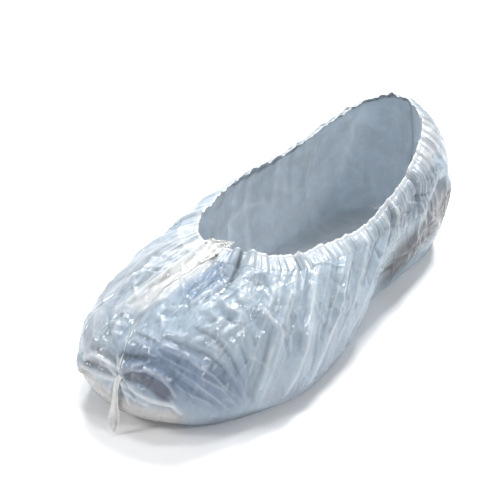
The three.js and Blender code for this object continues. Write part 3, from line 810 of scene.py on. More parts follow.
            # Thin lines along the crease: pale on ridges, partly film whitened in its folds and partly
            # painted highlight; dark on valleys and lips, painted shade
            thick = self.line_width * (0.6 + 0.4 * crease.height)
            line = min(1.0, crease.height / self.full_line) * taper * np.exp(-((away / thick) ** 2))
            line *= 0.7 + 0.3 * np.sin(17 * way + 3 * crease.height) * np.sin(7 * way + crease.width)
            if crease.kind is Fold.RIDGE:
                pale[part] = np.maximum(pale[part], line)
            elif crease.kind in (Fold.VALLEY, Fold.LIP):
                dark[part] = np.maximum(dark[part], line)
        return height, pale, dark

    def lean(self, turn: Array) -> Array:
        """How many turns the folds drift for each share that they run down."""
        marks, drift = np.array(self.leans).T
        return np.interp(np.mod(turn, 1.0), marks, drift)

    def gathered(
        self, place: Array, turn: Array, share: Array, depth: Array, width: float
    ) -> tuple[Array, Array, Array]:
        """Height of the gathers under the hem and of the pleats that run on from them.

        Gathers are puffs between pinched lines, 2|sin|^0.7 - 1, of uneven width, and die
        away from the hem down. Pleats are fewer, narrow crests, 1 - 2|sin|^0.5, that run
        on for longer.

        Args:
            place: Even place round the rim, from 0 to 1.
            turn: Turn of every grid point.
            share: Share of every grid point.
            depth: Distance below the hem in mm.
            width: Width of one gather at the rim in mm.

        Returns:
            Height in mm, how pale the film is along crests, partly as film whitened in its folds
            and partly as painted highlight, and how dark where pinched, as painted shade.
        """
        place = place + self.lean(turn) * np.maximum(share, 0) * self.lean_share
        phase = 2 * np.pi * place
        wander = waves(phase, self.uneven)
        size = 1 + self.gather_swell * np.sin(11 * phase + 0.7) * np.sin(23 * phase)
        fade = np.exp(-depth / self.gather_fade)
        pleat_fade = np.exp(-depth / self.pleat_fade)
        long_fade = np.exp(-depth / (2 * self.pleat_fade))
        sharp_fade = np.exp(-depth / (self.sharp_fade * self.gather_fade))
        gathers = self.pinched(place, wander, self.gathers, 0.0)
        pleats = self.pinched(place, wander, self.pleats, 0.3)
        longs = self.pinched(place, wander, self.long_pleats, 0.1)
        sharps = self.pinched(place, wander, self.sharp_count * self.gathers, 0.2)
        fine = self.gather_height * size * (2 * gathers**0.7 - 1) * fade
        pleat = self.pleat_height * size * self.crest(pleats) * pleat_fade
        long = self.long_height * self.crest(longs) * long_fade * smooth((depth + 6) / 14)
        sharp = self.sharp_height * self.crest(sharps) * sharp_fade
        # Pale along the pleats' crests, partly film whitened in its folds and partly painted highlight;
        # dark along the pinched gathers, painted shade
        pale = self.crest_line(pleats) * pleat_fade
        pale = np.maximum(pale, 0.8 * self.crest_line(longs) * long_fade)
        dark = self.crest_line(gathers) * fade
        calm = 1 - self.puffs_calm * near_turn(turn, self.puffs_at, self.puffs_reach)
        height = calm * min(1.0, width / self.full_gather) * (fine + pleat + long + sharp)
        return height, calm * pale * size, calm * dark * size

    def pinched(self, place: Array, wander: Array, count: float, shift: float) -> Array:
        """Distance from the pinched lines of a row of folds: |sin|, from 0 to 1."""
        return np.abs(np.sin(np.pi * (count * place + wander + shift)))

    def crest(self, pinch: Array) -> Array:
        """Height of narrow crests on the pinched lines, from -1 to 1."""
        return 1 - 2 * pinch**0.5

    def crest_line(self, pinch: Array) -> Array:
        """Thin lines along the pinched lines, from 0 to 1."""
        return np.clip(1 - 5 * pinch**0.8, 0, 1)

    def scattered(self, turn: Array, share: Array, scale: tuple[Array, Array]) -> Array:
        """Height of many small chance creases, each a short bent sharp line.

        Args:
            turn: Turn of every grid point.
            share: Share of every grid point.
            scale: Millimetres to a turn and to a share at every grid point.

        Returns:
            Height in mm.
        """
        chance = np.random.default_rng(self.seed)
        height = np.zeros(turn.shape)
        for _ in range(self.scatter_count):
            u0, s0 = chance.uniform(0, 1), chance.uniform(0.03, 1.0)
            if chance.uniform() < self.scatter_upright:
                angle = chance.normal(math.pi / 2, self.scatter_fan)
            else:
                angle = chance.uniform(0, math.pi)
            length, lift = chance.uniform(*self.scatter_length), chance.normal(0.0, self.scatter_lift)
            width, bow = chance.uniform(*self.scatter_width), chance.normal(0, self.scatter_bow)
            rows, columns = window(((u0, s0),), turn, share, *self.scatter_window)
            if not rows.any() or not columns.any():
                continue
            part = np.ix_(rows, columns)
            local = (scale[0][part], scale[1][part])
            dx = length / 2 * math.cos(angle) / local[0].mean()
            dy = length / 2 * math.sin(angle) / local[1].mean()
            ends = ((u0 - dx, s0 - dy), (u0, s0 + bow / local[1].mean()), (u0 + dx, s0 + dy))
            away, _, way = self.along(ends, turn[part], share[part], local)
            taper = np.clip(4 * way * (1 - way), 0, 1) ** 0.6
            height[part] += lift * taper * np.clip(1 - away / width, 0, 1) ** 1.15
        return height

    def crumpled(self, x: Array, turn: Array, share: Array, depth: Array) -> Array:
        """Height of the flat facets, most on top of the toe and least along the sides.

        Args:
            x: Place round the film in mm.
            turn: Turn of every grid point.
            share: Share of every grid point.
            depth: Distance below the hem in mm.

        Returns:
            Height in mm.
        """
        total = sum(crumple.heights(x, depth) for crumple in self.crumples)
        down = (share - self.toe_top[1]) / self.toe_reach[1]
        top = near_turn(turn, self.toe_top[0], self.toe_reach[0]) * np.exp(-(down**2))
        heel = near_turn(turn, self.heel_side, self.heel_reach)
        everywhere, on_top, at_heel = self.crumple_shares
        return total * (everywhere + on_top * top + at_heel * heel)


def window(
    line: Sequence[Place], turn: Array, share: Array, reach: float, depth: float
) -> tuple[Array, Array]:
    """Rows and columns of a grid that may lie near a line of places.

    Args:
        line: The line's places.
        turn: Turn of every grid point, nearly the same down each column.
        share: Share of every grid point, the same along each row.
        reach: How near in turns.
        depth: How near in shares.

    Returns:
        Masks of the rows and of the columns.
    """
    shares = np.array([place[1] for place in line])
    rows = (share[:, 0] > shares.min() - depth) & (share[:, 0] < shares.max() + depth)
    columns = np.zeros(turn.shape[1], dtype=bool)
    middle = turn[len(turn) // 2]
    for place in line:
        columns |= np.abs(turn_between(middle, place[0])) < reach
    return rows, columns


@dataclass
class FilmMesh:
    """A mesh of the cover with the values that its finish reads."""

    name: str
    points: Array
    faces: Faces
    tint: Array | None = None
    marks: dict[str, Array] = field(default_factory=dict)
    sharp_from: float | None = None

    def build(self, material: bpy.types.Material, smooth_shading: bool = True) -> bpy.types.Object:
        """Makes the object, at the origin, with its place in its mesh.

        Args:
            material: The finish.
            smooth_shading: Whether faces are shaded smooth.

        Returns:
            The new object, linked to the scene.
        """
        mesh = bpy.data.meshes.new(self.name)
        mesh.from_pydata((self.points * MM).tolist(), [], self.faces)
        if self.tint is not None:
            layer = mesh.attributes.new("tint", "FLOAT_COLOR", "POINT")
            rgba = np.concatenate([self.tint, np.ones((len(self.tint), 1))], axis=1)
            layer.data.foreach_set("color", rgba.astype(np.float32).ravel())
        for name, values in self.marks.items():
            layer = mesh.attributes.new(name, "FLOAT", "POINT")
            layer.data.foreach_set("value", values.astype(np.float32).ravel())
        mesh.polygons.foreach_set("use_smooth", np.full(len(mesh.polygons), smooth_shading))
        mesh.materials.append(material)
        mesh.update()
        if self.sharp_from is not None:
            mesh.set_sharp_from_angle(angle=math.radians(self.sharp_from))
        piece = bpy.data.objects.new(self.name, mesh)
        bpy.context.collection.objects.link(piece)
        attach(piece, "root")
        LOG.info("%s: %d faces", self.name, len(self.faces))
        return piece


def grid_faces(rows: int, columns: int) -> Array:
    """Quads of a plain grid of points, outwards down the rows.

    Args:
        rows: Rows of points.
        columns: Points in each row.

    Returns:
        Four indices for each quad.
    """
    row, column = np.meshgrid(np.arange(rows - 1), np.arange(columns - 1), indexing="ij")
    corner = row * columns + column
    return np.stack([corner, corner + columns, corner + columns + 1, corner + 1], axis=-1).reshape(-1, 4)


@dataclass
class FilmHalf:
    """One side of the film, from the toe weld to the heel weld and down to the sole's fold.

    Its grid runs down the upper and under the sole. Its first and last columns lie on the
    welds, and the toe's one follows the weld's wandering line.
    """

    form: Form
    relief: Relief
    name: str
    start: float
    columns: int
    toe_crowding: float
    crowded_to: float = 0.2
    crowded_over: float = 0.08
    hem_rows: int = 9
    upper_rows: int = 141
    sole_rows: int = 9
    wall: float = 0.35
    coarse: int = 3
    floor_gap: float = 0.25
    inner_fade: float = 0.55
    inner_blur: int = 3
    rim_bob: float = 0.5
    lobes: tuple[float, ...] = (0.078, 0.119)
    lobe_height: float = 2.4
    lobe_reach: float = 0.013
    weld_line: tuple[Place, ...] = places(
        4, -100, -4, 40, -21, 200, -17, 400, -12, 550, -5, 720, -2, 770, 0, 850
    )
    weld_reach: float = 0.07
    shift: Triple = (9.254, 1.527, 0.0)
    girth: float = 640.0
    bobs: tuple[Wave, ...] = ((1.0, 23, 1.1), (0.7, 41, 0.0), (0.6, 67, 2.0))
    # Crest lines paler, partly film whitened in its folds and partly painted highlight; valleys and dark
    # lines darker as painted shade
    crest_colour: Triple = (0.8, 0.84, 0.87)
    line_colour: Triple = (0.84, 0.88, 0.90)
    full_bend: float = 0.5
    crest_share: float = 0.14
    line_share: float = 0.85
    line_gain: float = 1.15
    valley_shade: float = 0.2
    line_shade: float = 0.3
    hem_relief: float = 0.3
    foot_calm: float = 0.55
    foot_calm_from: float = 0.93
    turn_step: float = 0.002
    lift_fade: float = 0.09
    sole_fade: float = 1.5
    lively_at: tuple[Wave, ...] = ((0.5, 0.06, 0.14), (0.3, 0.42, 0.05))

    def __post_init__(self) -> None:
        """Works out the grid's places, points, heights and colours."""
        even = self.even_turns()
        hem = np.linspace(-self.form.rim_share, 0, self.hem_rows + 1)[:-1]
        upper_share = np.concatenate([hem, np.linspace(0, 1, self.upper_rows + 1)])
        self.turn, self.share = np.meshgrid(even, upper_share)
        marks = np.array(self.weld_line)
        wander = np.interp(self.share, marks[:, 1], marks[:, 0])
        self.turn = self.turn + wander * near_turn(self.turn, 0, self.weld_reach)
        upper = self.form.upper(self.turn, self.share)
        self.base = np.concatenate([upper, self.form.sole(upper[-1], self.sole_rows)])
        self.depth = self.down_from_hem(upper)
        self.scale = self.stretch()
        self.height = self.heights()
        self.base_normals = self.smooth_normals()
        self.points = self.base + self.base_normals * self.height[..., None]
        self.points[: len(upper)] += self.rim_lift()[..., None] * np.array([0, 0, 1.0])
        self.points[..., 2] = np.maximum(self.points[..., 2], self.floor_gap)
        self.points -= np.array(self.shift)
        self.normals = grid_normals(self.points)
        self.tint = self.colours()

    def even_turns(self) -> Array:
        """Turns of the columns, even along the rim and foot line but closer at the toe.

        Returns:
            One more turn than there are columns of quads.
        """
        half = self.form.fine_steps // 2
        part = slice(0, half + 1) if self.start == 0 else slice(half, 2 * half + 1)
        marks = self.form.marks[part]
        place = 0.5 * (self.form.rim_place[part] + self.form.foot_place[part])
        near = smooth((self.crowded_to - np.abs(turn_between(marks, 0))) / self.crowded_over)
        toe = 1 + (self.toe_crowding - 1) * near
        steps = np.diff(place) * 0.5 * (toe[1:] + toe[:-1])
        sums = np.concatenate([[0], np.cumsum(steps)])
        return np.interp(np.linspace(0, 1, self.columns + 1), sums / sums[-1], marks)

    def down_from_hem(self, upper: Array) -> Array:
        """Length down the smooth film from the hem's lower edge, in mm.

        Args:
            upper: Points of the upper, rows by columns by 3.

        Returns:
            The length at every point.
        """
        steps = np.linalg.norm(np.diff(upper, axis=0, prepend=upper[:1]), axis=-1)
        sums = np.cumsum(steps, axis=0)
        return sums - sums[self.hem_rows]

    def stretch(self) -> tuple[Array, Array]:
        """Millimetres to a turn and millimetres to a share at every point of the upper.

        Returns:
            Two grids, for turns and for shares.
        """
        before = self.form.upper(self.turn - self.turn_step, self.share)
        after = self.form.upper(self.turn + self.turn_step, self.share)
        to_turn = np.linalg.norm(after - before, axis=-1) / (2 * self.turn_step)
        return to_turn, np.broadcast_to(self.depth[-1], to_turn.shape)

    def smooth_normals(self) -> Array:
        """Normals of the smooth film, the same on both sides of a weld.

        Returns:
            Rows by columns by 3, outwards.
        """
        before = self.form.upper(self.turn - self.turn_step, self.share)
        after = self.form.upper(self.turn + self.turn_step, self.share)
        upper = after - before
        under = self.form.sole(after[-1], self.sole_rows) - self.form.sole(before[-1], self.sole_rows)
        down = np.gradient(self.base, axis=0)
        return unit(np.cross(down, np.concatenate([upper, under])))

    def heights(self) -> Array:
        """How far the film stands off its smooth body, at every point of the grid.

        Returns:
            Height in mm, for the upper's rows and the sole's.
        """
        turn, share, relief = self.turn, self.share, self.relief
        place = np.interp(np.mod(turn, 1.0), self.form.marks, self.form.rim_place)
        x = turn_between(turn, 0.25) * self.girth
        depth = np.maximum(self.depth, 0)
        width = self.form.rim_girth / relief.gathers
        # Pale along crests, partly whitened film and partly painted highlight; dark along valleys, lips and
        # pinches, painted shade
        gathered, self.pale, self.dark = relief.gathered(place, turn, share, depth, width)
        drawn, pale, dark = relief.drawn(turn, share, self.scale)
        self.pale, self.dark = np.maximum(self.pale, pale), np.maximum(self.dark, dark)
        drawn += relief.scattered(turn, share, self.scale)
        drawn += relief.crumpled(x, turn, share, self.depth)
        hem = smooth(1 + share / (0.9 * self.form.rim_share))
        upper = gathered + drawn * (self.hem_relief + (1 - self.hem_relief) * hem)
        low = smooth((share - self.foot_calm_from) / (1 - self.foot_calm_from))
        upper *= 1 - self.foot_calm * low
        fade = np.exp(-np.arange(1, self.sole_rows + 1) / self.sole_fade)
        return np.concatenate([upper, upper[-1] * fade[:, None]])

    def rim_lift(self) -> Array:
        """How far the hem bobs up and down along the rim, fading below it.

        Returns:
            Height in mm at every point of the upper.
        """
        place = np.interp(np.mod(self.turn, 1.0), self.form.marks, self.form.rim_place)
        phase = 2 * np.pi * place
        bob = waves(phase, self.bobs)
        fade = np.exp(-np.maximum(self.share + self.form.rim_share, 0) / self.lift_fade)
        lobes = sum(near_turn(self.turn, middle, self.lobe_reach) for middle in self.lobes)
        return (self.rim_bob * bob + self.lobe_height * lobes) * fade

    def colours(self) -> Array:
        """Linear colour of each point of the upper and the sole.

        The film's own colour blends towards each patch of the table with a smooth step
        of the distance from the patch's line; some patches are painted shade and some painted
        highlight. Crests are paler, partly as film whitened in its folds and partly as painted
        highlight, and valleys, lips and pinches are darker as painted shade, both along their
        lines and by how much the height differs from that of its neighbours.

        Returns:
            Rows by columns by 3.
        """
        colour = np.broadcast_to(np.array(srgb(FILM_BLUE)[:3]), self.turn.shape + (3,)).copy()
        # The table's patches: the film's own colours, with painted shade and painted highlights among them
        for tone in TONES:
            away, _, _ = self.relief.along(tone.line, self.turn, self.share, self.scale)
            blend = tone.strength * smooth(tone.edge * (1 - away / tone.reach))[..., None]
            colour += blend * (np.array(srgb(tone.colour)[:3]) - colour)
        height = self.height[: len(self.share)]
        around = sum(shifted(height, k, axis) for k in (-2, 2) for axis in (0, 1)) / 4
        bend = height - around
        bend[:2] = 0
        # Crests paler, partly as whitened film and partly as painted highlight; valleys and dark lines
        # darker as painted shade
        crest = np.clip(bend / self.full_bend, 0, 1)[..., None]
        valley = np.clip(-bend / self.full_bend, 0, 1)[..., None]
        line = np.clip(self.line_gain * self.pale, 0, 1)[..., None]
        colour += self.crest_share * crest * (np.array(self.crest_colour) - colour)
        colour += self.line_share * line * (np.array(self.line_colour) - colour)
        colour *= (1 - self.valley_shade * valley) * (1 - self.line_shade * self.dark[..., None])
        under = np.broadcast_to(colour[-1], (self.sole_rows,) + colour[-1].shape)
        return np.concatenate([colour, under])

    def lively(self) -> Array:
        """How strongly the film crinkles at each point: most on the toe's top and heel.

        Returns:
            Strength from 0 to 1 at every point of the upper and the sole.
        """
        upper = 0.5 + sum(share * near_turn(self.turn, at, reach) for share, at, reach in self.lively_at)
        upper *= 1 - 0.5 * smooth((self.share - 0.5) / 0.3)
        under = np.broadcast_to(upper[-1], (self.sole_rows, upper.shape[1]))
        return np.concatenate([upper, under])

    def inner_skin(self) -> Array:
        """The inner skin's coarser grid, everywhere below the creases of the outer one.

        Returns:
            Every third row and column, by 3.
        """
        low = eroded(self.height, self.coarse) - self.wall
        points = self.base + self.base_normals * low[..., None]
        points[: len(self.share)] += self.rim_lift()[..., None] * np.array([0, 0, 1.0])
        points[..., 2] = np.maximum(points[..., 2], self.floor_gap + 0.6 * self.wall)
        return (points - np.array(self.shift))[:: self.coarse, :: self.coarse]

    def border_faces(self, outer: Array, inner: Array) -> Faces:
        """Faces between a border of the fine outer skin and the coarse inner one.

        Args:
            outer: Indices along the outer border, three for each of the inner one's.
            inner: Indices along the inner border.

        Returns:
            Faces that close the border, seen from its right side.
        """
        faces = []
        for k in range(len(inner) - 1):
            a, b, c, d = outer[self.coarse * k : self.coarse * k + 4]
            here, following = inner[k], inner[k + 1]
            faces += [(b, a, here), (c, b, here), (c, here, following), (d, c, following)]
        return faces

    def build(self, finish: bpy.types.Material, flat: tuple[float, float]) -> bpy.types.Object:
        """Makes this side of the film: one closed shell with an outer and an inner skin.

        Args:
            finish: The film's material.
            flat: Width and length that it is cut to; not used.

        Returns:
            The film as an object.
        """
        rows, columns = self.points.shape[:2]
        outer = np.arange(rows * columns).reshape(rows, columns)
        skin = self.inner_skin()
        inner = outer.size + np.arange(skin.shape[0] * skin.shape[1]).reshape(skin.shape[:2])
        faces = [tuple(f) for f in grid_faces(rows, columns).tolist()]
        back = grid_faces(*skin.shape[:2])[:, ::-1] + outer.size
        faces += [tuple(f) for f in back.tolist()]
        faces += self.border_faces(outer[0, ::-1], inner[0, ::-1])
        faces += self.border_faces(outer[-1], inner[-1])
        faces += self.border_faces(outer[:, 0], inner[:, 0])
        faces += self.border_faces(outer[::-1, -1], inner[::-1, -1])
        points = np.concatenate([self.points.reshape(-1, 3), skin.reshape(-1, 3)])
        soft = blurred(self.tint, self.inner_blur)[:: self.coarse, :: self.coarse]
        inner_tint = 1 - self.inner_fade * (1 - soft)
        tint = np.concatenate([self.tint.reshape(-1, 3), inner_tint.reshape(-1, 3)])
        lively = self.lively()
        inner_lively = lively[:: self.coarse, :: self.coarse]
        marks = {"lively": np.concatenate([lively.ravel(), inner_lively.ravel()])}
        piece = FilmMesh(self.name, points, faces, tint=tint, marks=marks).build(finish)
        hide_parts("film_body")
        return piece


def sweep(sections: Array, closed: bool) -> tuple[Array, Faces]:
    """A solid from sections of equal size, joined end to end or capped.

    Args:
        sections: Sections by points by 3.
        closed: Whether the last section joins the first.

    Returns:
        The points, and the faces turned outwards.
    """
    count, size = sections.shape[:2]
    spans = count if closed else count - 1
    i, k = np.meshgrid(np.arange(spans), np.arange(size), indexing="ij")
    there, following = (i + 1) % count, (k + 1) % size
    corners = [i * size + k, there * size + k, there * size + following, i * size + following]
    faces = [tuple(face) for face in np.stack(corners, axis=-1).reshape(-1, 4).tolist()]
    if not closed:
        faces.append(tuple(range(size)))
        faces.append(tuple(range(count * size - 1, (count - 1) * size - 1, -1)))
    points = sections.reshape(-1, 3)
    p = (points - points.mean(axis=0))[np.array([f[:3] for f in faces])]
    if np.einsum("ij,ij->i", p[:, 0], np.cross(p[:, 1], p[:, 2])).sum() < 0:
        faces = [face[::-1] for face in faces]
    return points, faces


@dataclass
class Hem:
    """Film folded over the top edge and down both of its faces, with the elastic in it."""

    halves: Sequence[FilmHalf]
    gap: float = 0.04
    wall: float = 0.1
    elastic_half: float = 0.3
    crown: float = 2.1
    crown_rows: int = 7
    crown_start: float = 0.15
    crown_slack: float = 0.25
    inner_slack: float = 0.3
    clearance: float = 0.25
    puffs_at: float = 0.093
    puffs_reach: float = 0.03
    liveliness: float = 0.7
    # Painted shade and light: the film under the hem is darkened, and lightened again towards the far side
    shade: float = 0.78
    far_painted_light: float = 0.3
    whiteness: tuple[float, float] = (0.02, 0.62)
    puffs_clear: float = 0.8
    white_under_crown: Place = (0.3, 0.7)
    white_low_edge: float = 0.2
    white_inside: float = 0.3
    far_from: float = 0.6
    far_over: float = 0.15

    def __post_init__(self) -> None:
        """Joins the rows of both sides of the film that lie under the hem to rings."""
        rows = self.halves[0].hem_rows + 1
        self.points = self.joined([half.points for half in self.halves], rows)
        normals = self.joined([half.normals for half in self.halves], rows)
        self.normals = unit(normals + np.roll(normals, 1, axis=1) + np.roll(normals, -1, axis=1))
        base = self.joined([half.base for half in self.halves], rows)
        self.up = unit(base[0] - base[-1])
        self.tint = self.joined([half.tint for half in self.halves], rows)

    def joined(self, grids: Sequence[Array], rows: int) -> Array:
        """The top rows of both sides' grids as one ring, with each weld's column once."""
        return np.concatenate([grid[:rows, :-1] for grid in grids], axis=1)

    def path(self, out: float) -> Array:
        """A line round the section, from the outer bottom over the crown to the inner one.

        Args:
            out: Distance from the film's middle to the line.

        Returns:
            Points of the line by columns by 3.
        """
        middle = self.points - 0.5 * self.halves[0].wall * self.normals
        outside = (middle + out * self.normals)[::-1]
        inside = middle - (out + self.inner_slack) * self.normals
        angles = np.linspace(self.crown_start, np.pi - self.crown_start, self.crown_rows)[:, None, None]
        wide = (out + self.crown_slack) * np.cos(angles) * self.normals[0]
        tall = (self.crown + out) * np.sin(angles) * self.up
        return np.concatenate([outside, middle[0] + wide + tall, inside])

    def build(self, finish: bpy.types.Material) -> bpy.types.Object:
        """Makes the hem's object in the given finish.

        Args:
            finish: The hem's material.

        Returns:
            The hem as one closed ring.
        """
        half = 0.5 * self.halves[0].wall
        inner_line = self.path(half + self.gap)
        outer_line = self.path(half + self.gap + self.wall)
        ring = np.concatenate([outer_line, inner_line[::-1]]).transpose(1, 0, 2)
        points, faces = sweep(ring, True)
        count = outer_line.shape[0]
        rows = self.points.shape[0]
        crown = np.zeros(ring.shape[1])
        crown[rows : rows + self.crown_rows] = 1
        crown[rows - 2 : rows] = self.white_under_crown
        crown[0] = self.white_low_edge
        crown[count:] = self.white_inside
        film = self.tint[-1][:, None, :] * np.ones((1, ring.shape[1], 1))
        white = np.array(srgb(HEM_WHITE)[:3])
        turn = np.concatenate([half.turn[0, :-1] for half in self.halves])
        # Painted shade and light: the hem's film is darker on the near side and lighter towards the far
        # side
        far = smooth((turn - self.far_from) / self.far_over)
        film = film * (self.shade + self.far_painted_light * far)[:, None, None]
        puffed = near_turn(turn, self.puffs_at, self.puffs_reach)
        white_share = self.whiteness[0] + self.whiteness[1] * crown
        blend = ((1 - self.puffs_clear * puffed)[:, None] * white_share[None, :])[..., None]
        tint = (film + blend * (white - film)).reshape(-1, 3)
        marks = {"lively": np.full(len(points), self.liveliness)}
        folded = FilmMesh("hem_fold", points, faces, tint, marks, sharp_from=SHARP_FROM)
        piece = folded.build(finish)
        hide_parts("hem")
        return piece

    def build_elastic(self, finish: bpy.types.Material) -> bpy.types.Object:
        """Makes the flat elastic that stands on the film's top edge inside the fold.

        Args:
            finish: The elastic's material.

        Returns:
            The elastic as one closed ring.
        """
        middle = self.points[0] - 0.5 * self.halves[0].wall * self.normals[0]
        low, high, half = self.clearance, self.crown - 0.2, self.elastic_half
        corners = [(half, low), (half, high), (-half, high), (-half, low)]
        lines = [middle + out * self.normals[0] + rise * self.up for out, rise in corners]
        ring = np.stack(lines, axis=1)
        points, faces = sweep(ring, True)
        piece = FilmMesh("elastic_band", points, faces).build(finish, smooth_shading=False)
        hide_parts("elastic")
        return piece


def zigzag(phase: Array) -> Array:
    """Triangle wave of a phase, from -1 to 1."""
    return 2 / np.pi * np.arcsin(np.sin(phase))


def read_between(table: Sequence[Sequence[float]], marks: Array) -> Array:
    """A table's rows at marks from 0, its first row, to 1, its last, straight between rows.

    Args:
        table: Rows of equal length.
        marks: Where to read them.

    Returns:
        One row for each mark.
    """
    source = np.array(table)
    steps = np.linspace(0, 1, len(source))
    return np.stack([np.interp(marks, steps, column) for column in source.T], axis=-1)


def strip(centre: Array, half: Array, thin: Array, spans: Array, off: Array, thick: Array) -> Array:
    """Sections of a crumpled strip: along its face one way, and along its back the other.

    Args:
        centre: Middle of each row, rows by 3.
        half: From there to the edge, rows by 3.
        thin: Which way the face looks, for all rows or for each.
        spans: Places across the strip from -1 to 1.
        off: How far the strip bends out at each row and place.
        thick: Thickness of each row.

    Returns:
        Rows by twice the places by 3.
    """
    faces = []
    for side in (1, -1):
        line = centre[:, None] + half[:, None] * spans[None, ::side, None]
        out = off[:, ::side] + side * thick[:, None] / 2
        faces.append(line + out[..., None] * thin)
    return np.concatenate(faces, axis=1)


# Up along the film, out from it and across it, then width and thickness
TAB_ROWS = (
    (-14.0, 0.5, -0.5, 3.0, 0.4),
    (-9.0, 0.8, -0.2, 6.0, 0.4),
    (-4.0, 1.3, 0.0, 8.5, 0.45),
    (0.5, 1.7, -0.6, 12.0, 0.45),
    (2.6, 1.6, 0.4, 10.5, 0.45),
    (4.2, 0.9, 1.9, 7.6, 0.4),
    (5.6, 0.5, 2.8, 5.6, 0.4),
    (7.2, 0.2, 3.9, 3.4, 0.35),
    (9.0, 0.0, 4.9, 1.2, 0.3),
)

# Offsets from the knot, width, thickness and turn of the width from straight ahead
TAIL_ROWS = (
    (1.0, 3.0, 3.0, 3.6, 1.2, 110),
    (0.3, -2.0, 0.0, 3.2, 1.0, 112),
    (0.9, -5.0, -7.0, 2.6, 0.7, 118),
    (1.5, -7.0, -14.0, 4.0, 0.55, 128),
    (1.6, -8.2, -20.0, 6.6, 0.45, 132),
    (1.6, -8.6, -24.5, 6.0, 0.4, 128),
    (1.6, -8.7, -28.5, 3.4, 0.35, 122),
    (1.5, -8.6, -31.5, 1.0, 0.3, 118),
)


@dataclass
class Weld:
    """A welded edge that stands off the film along a column of its grid."""

    halves: Sequence[FilmHalf]
    height: float
    thick: float
    sink: float = 0.12
    edge_share: float = 0.6

    def column(self, column: int, other: int, last: int) -> tuple[Array, Array]:
        """Points and shared normals where the two sides of the film meet.

        Args:
            column: The weld's column in the near side's grid.
            other: The same weld's column in the far side's grid.
            last: First row below the weld's lower end.

        Returns:
            Points and unit normals, one to a row.
        """
        near, far = self.halves
        first = near.hem_rows + 1
        points = near.points[first:last, column]
        normals = unit(near.normals[first:last, column] + far.normals[first:last, other])
        return points, normals

    def fin(self, points: Array, normals: Array, tall: Array, lean: Array) -> Array:
        """Sections of a fin with an uneven free edge, one to a row.

        Args:
            points: Foot of the fin.
            normals: Which way it stands.
            tall: Height at each row in mm.
            lean: How far its free edge leans across, in mm.

        Returns:
            Rows by 4 corners by 3.
        """
        across = unit(np.cross(unit(np.gradient(points, axis=0)), normals))
        foot = points - self.sink * normals
        edge = points + normals * tall[:, None] + across * lean[:, None]
        half = across * self.thick / 2
        thin = self.edge_share * half
        return np.stack([foot + half, edge + thin, edge - thin, foot - half], axis=1)

    def make(self, name: str, node: str, sections: Array, finish: bpy.types.Material) -> bpy.types.Object:
        """Makes one piece of the weld from its sections, in place of a CAD node.

        Args:
            name: The piece's name.
            node: The CAD node that it stands for.
            sections: Sections by points by 3.
            finish: The weld's material.

        Returns:
            The piece as an object.
        """
        points, faces = sweep(sections, False)
        piece = FilmMesh(name, points, faces, sharp_from=SHARP_FROM).build(finish)
        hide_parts(node)
        return piece


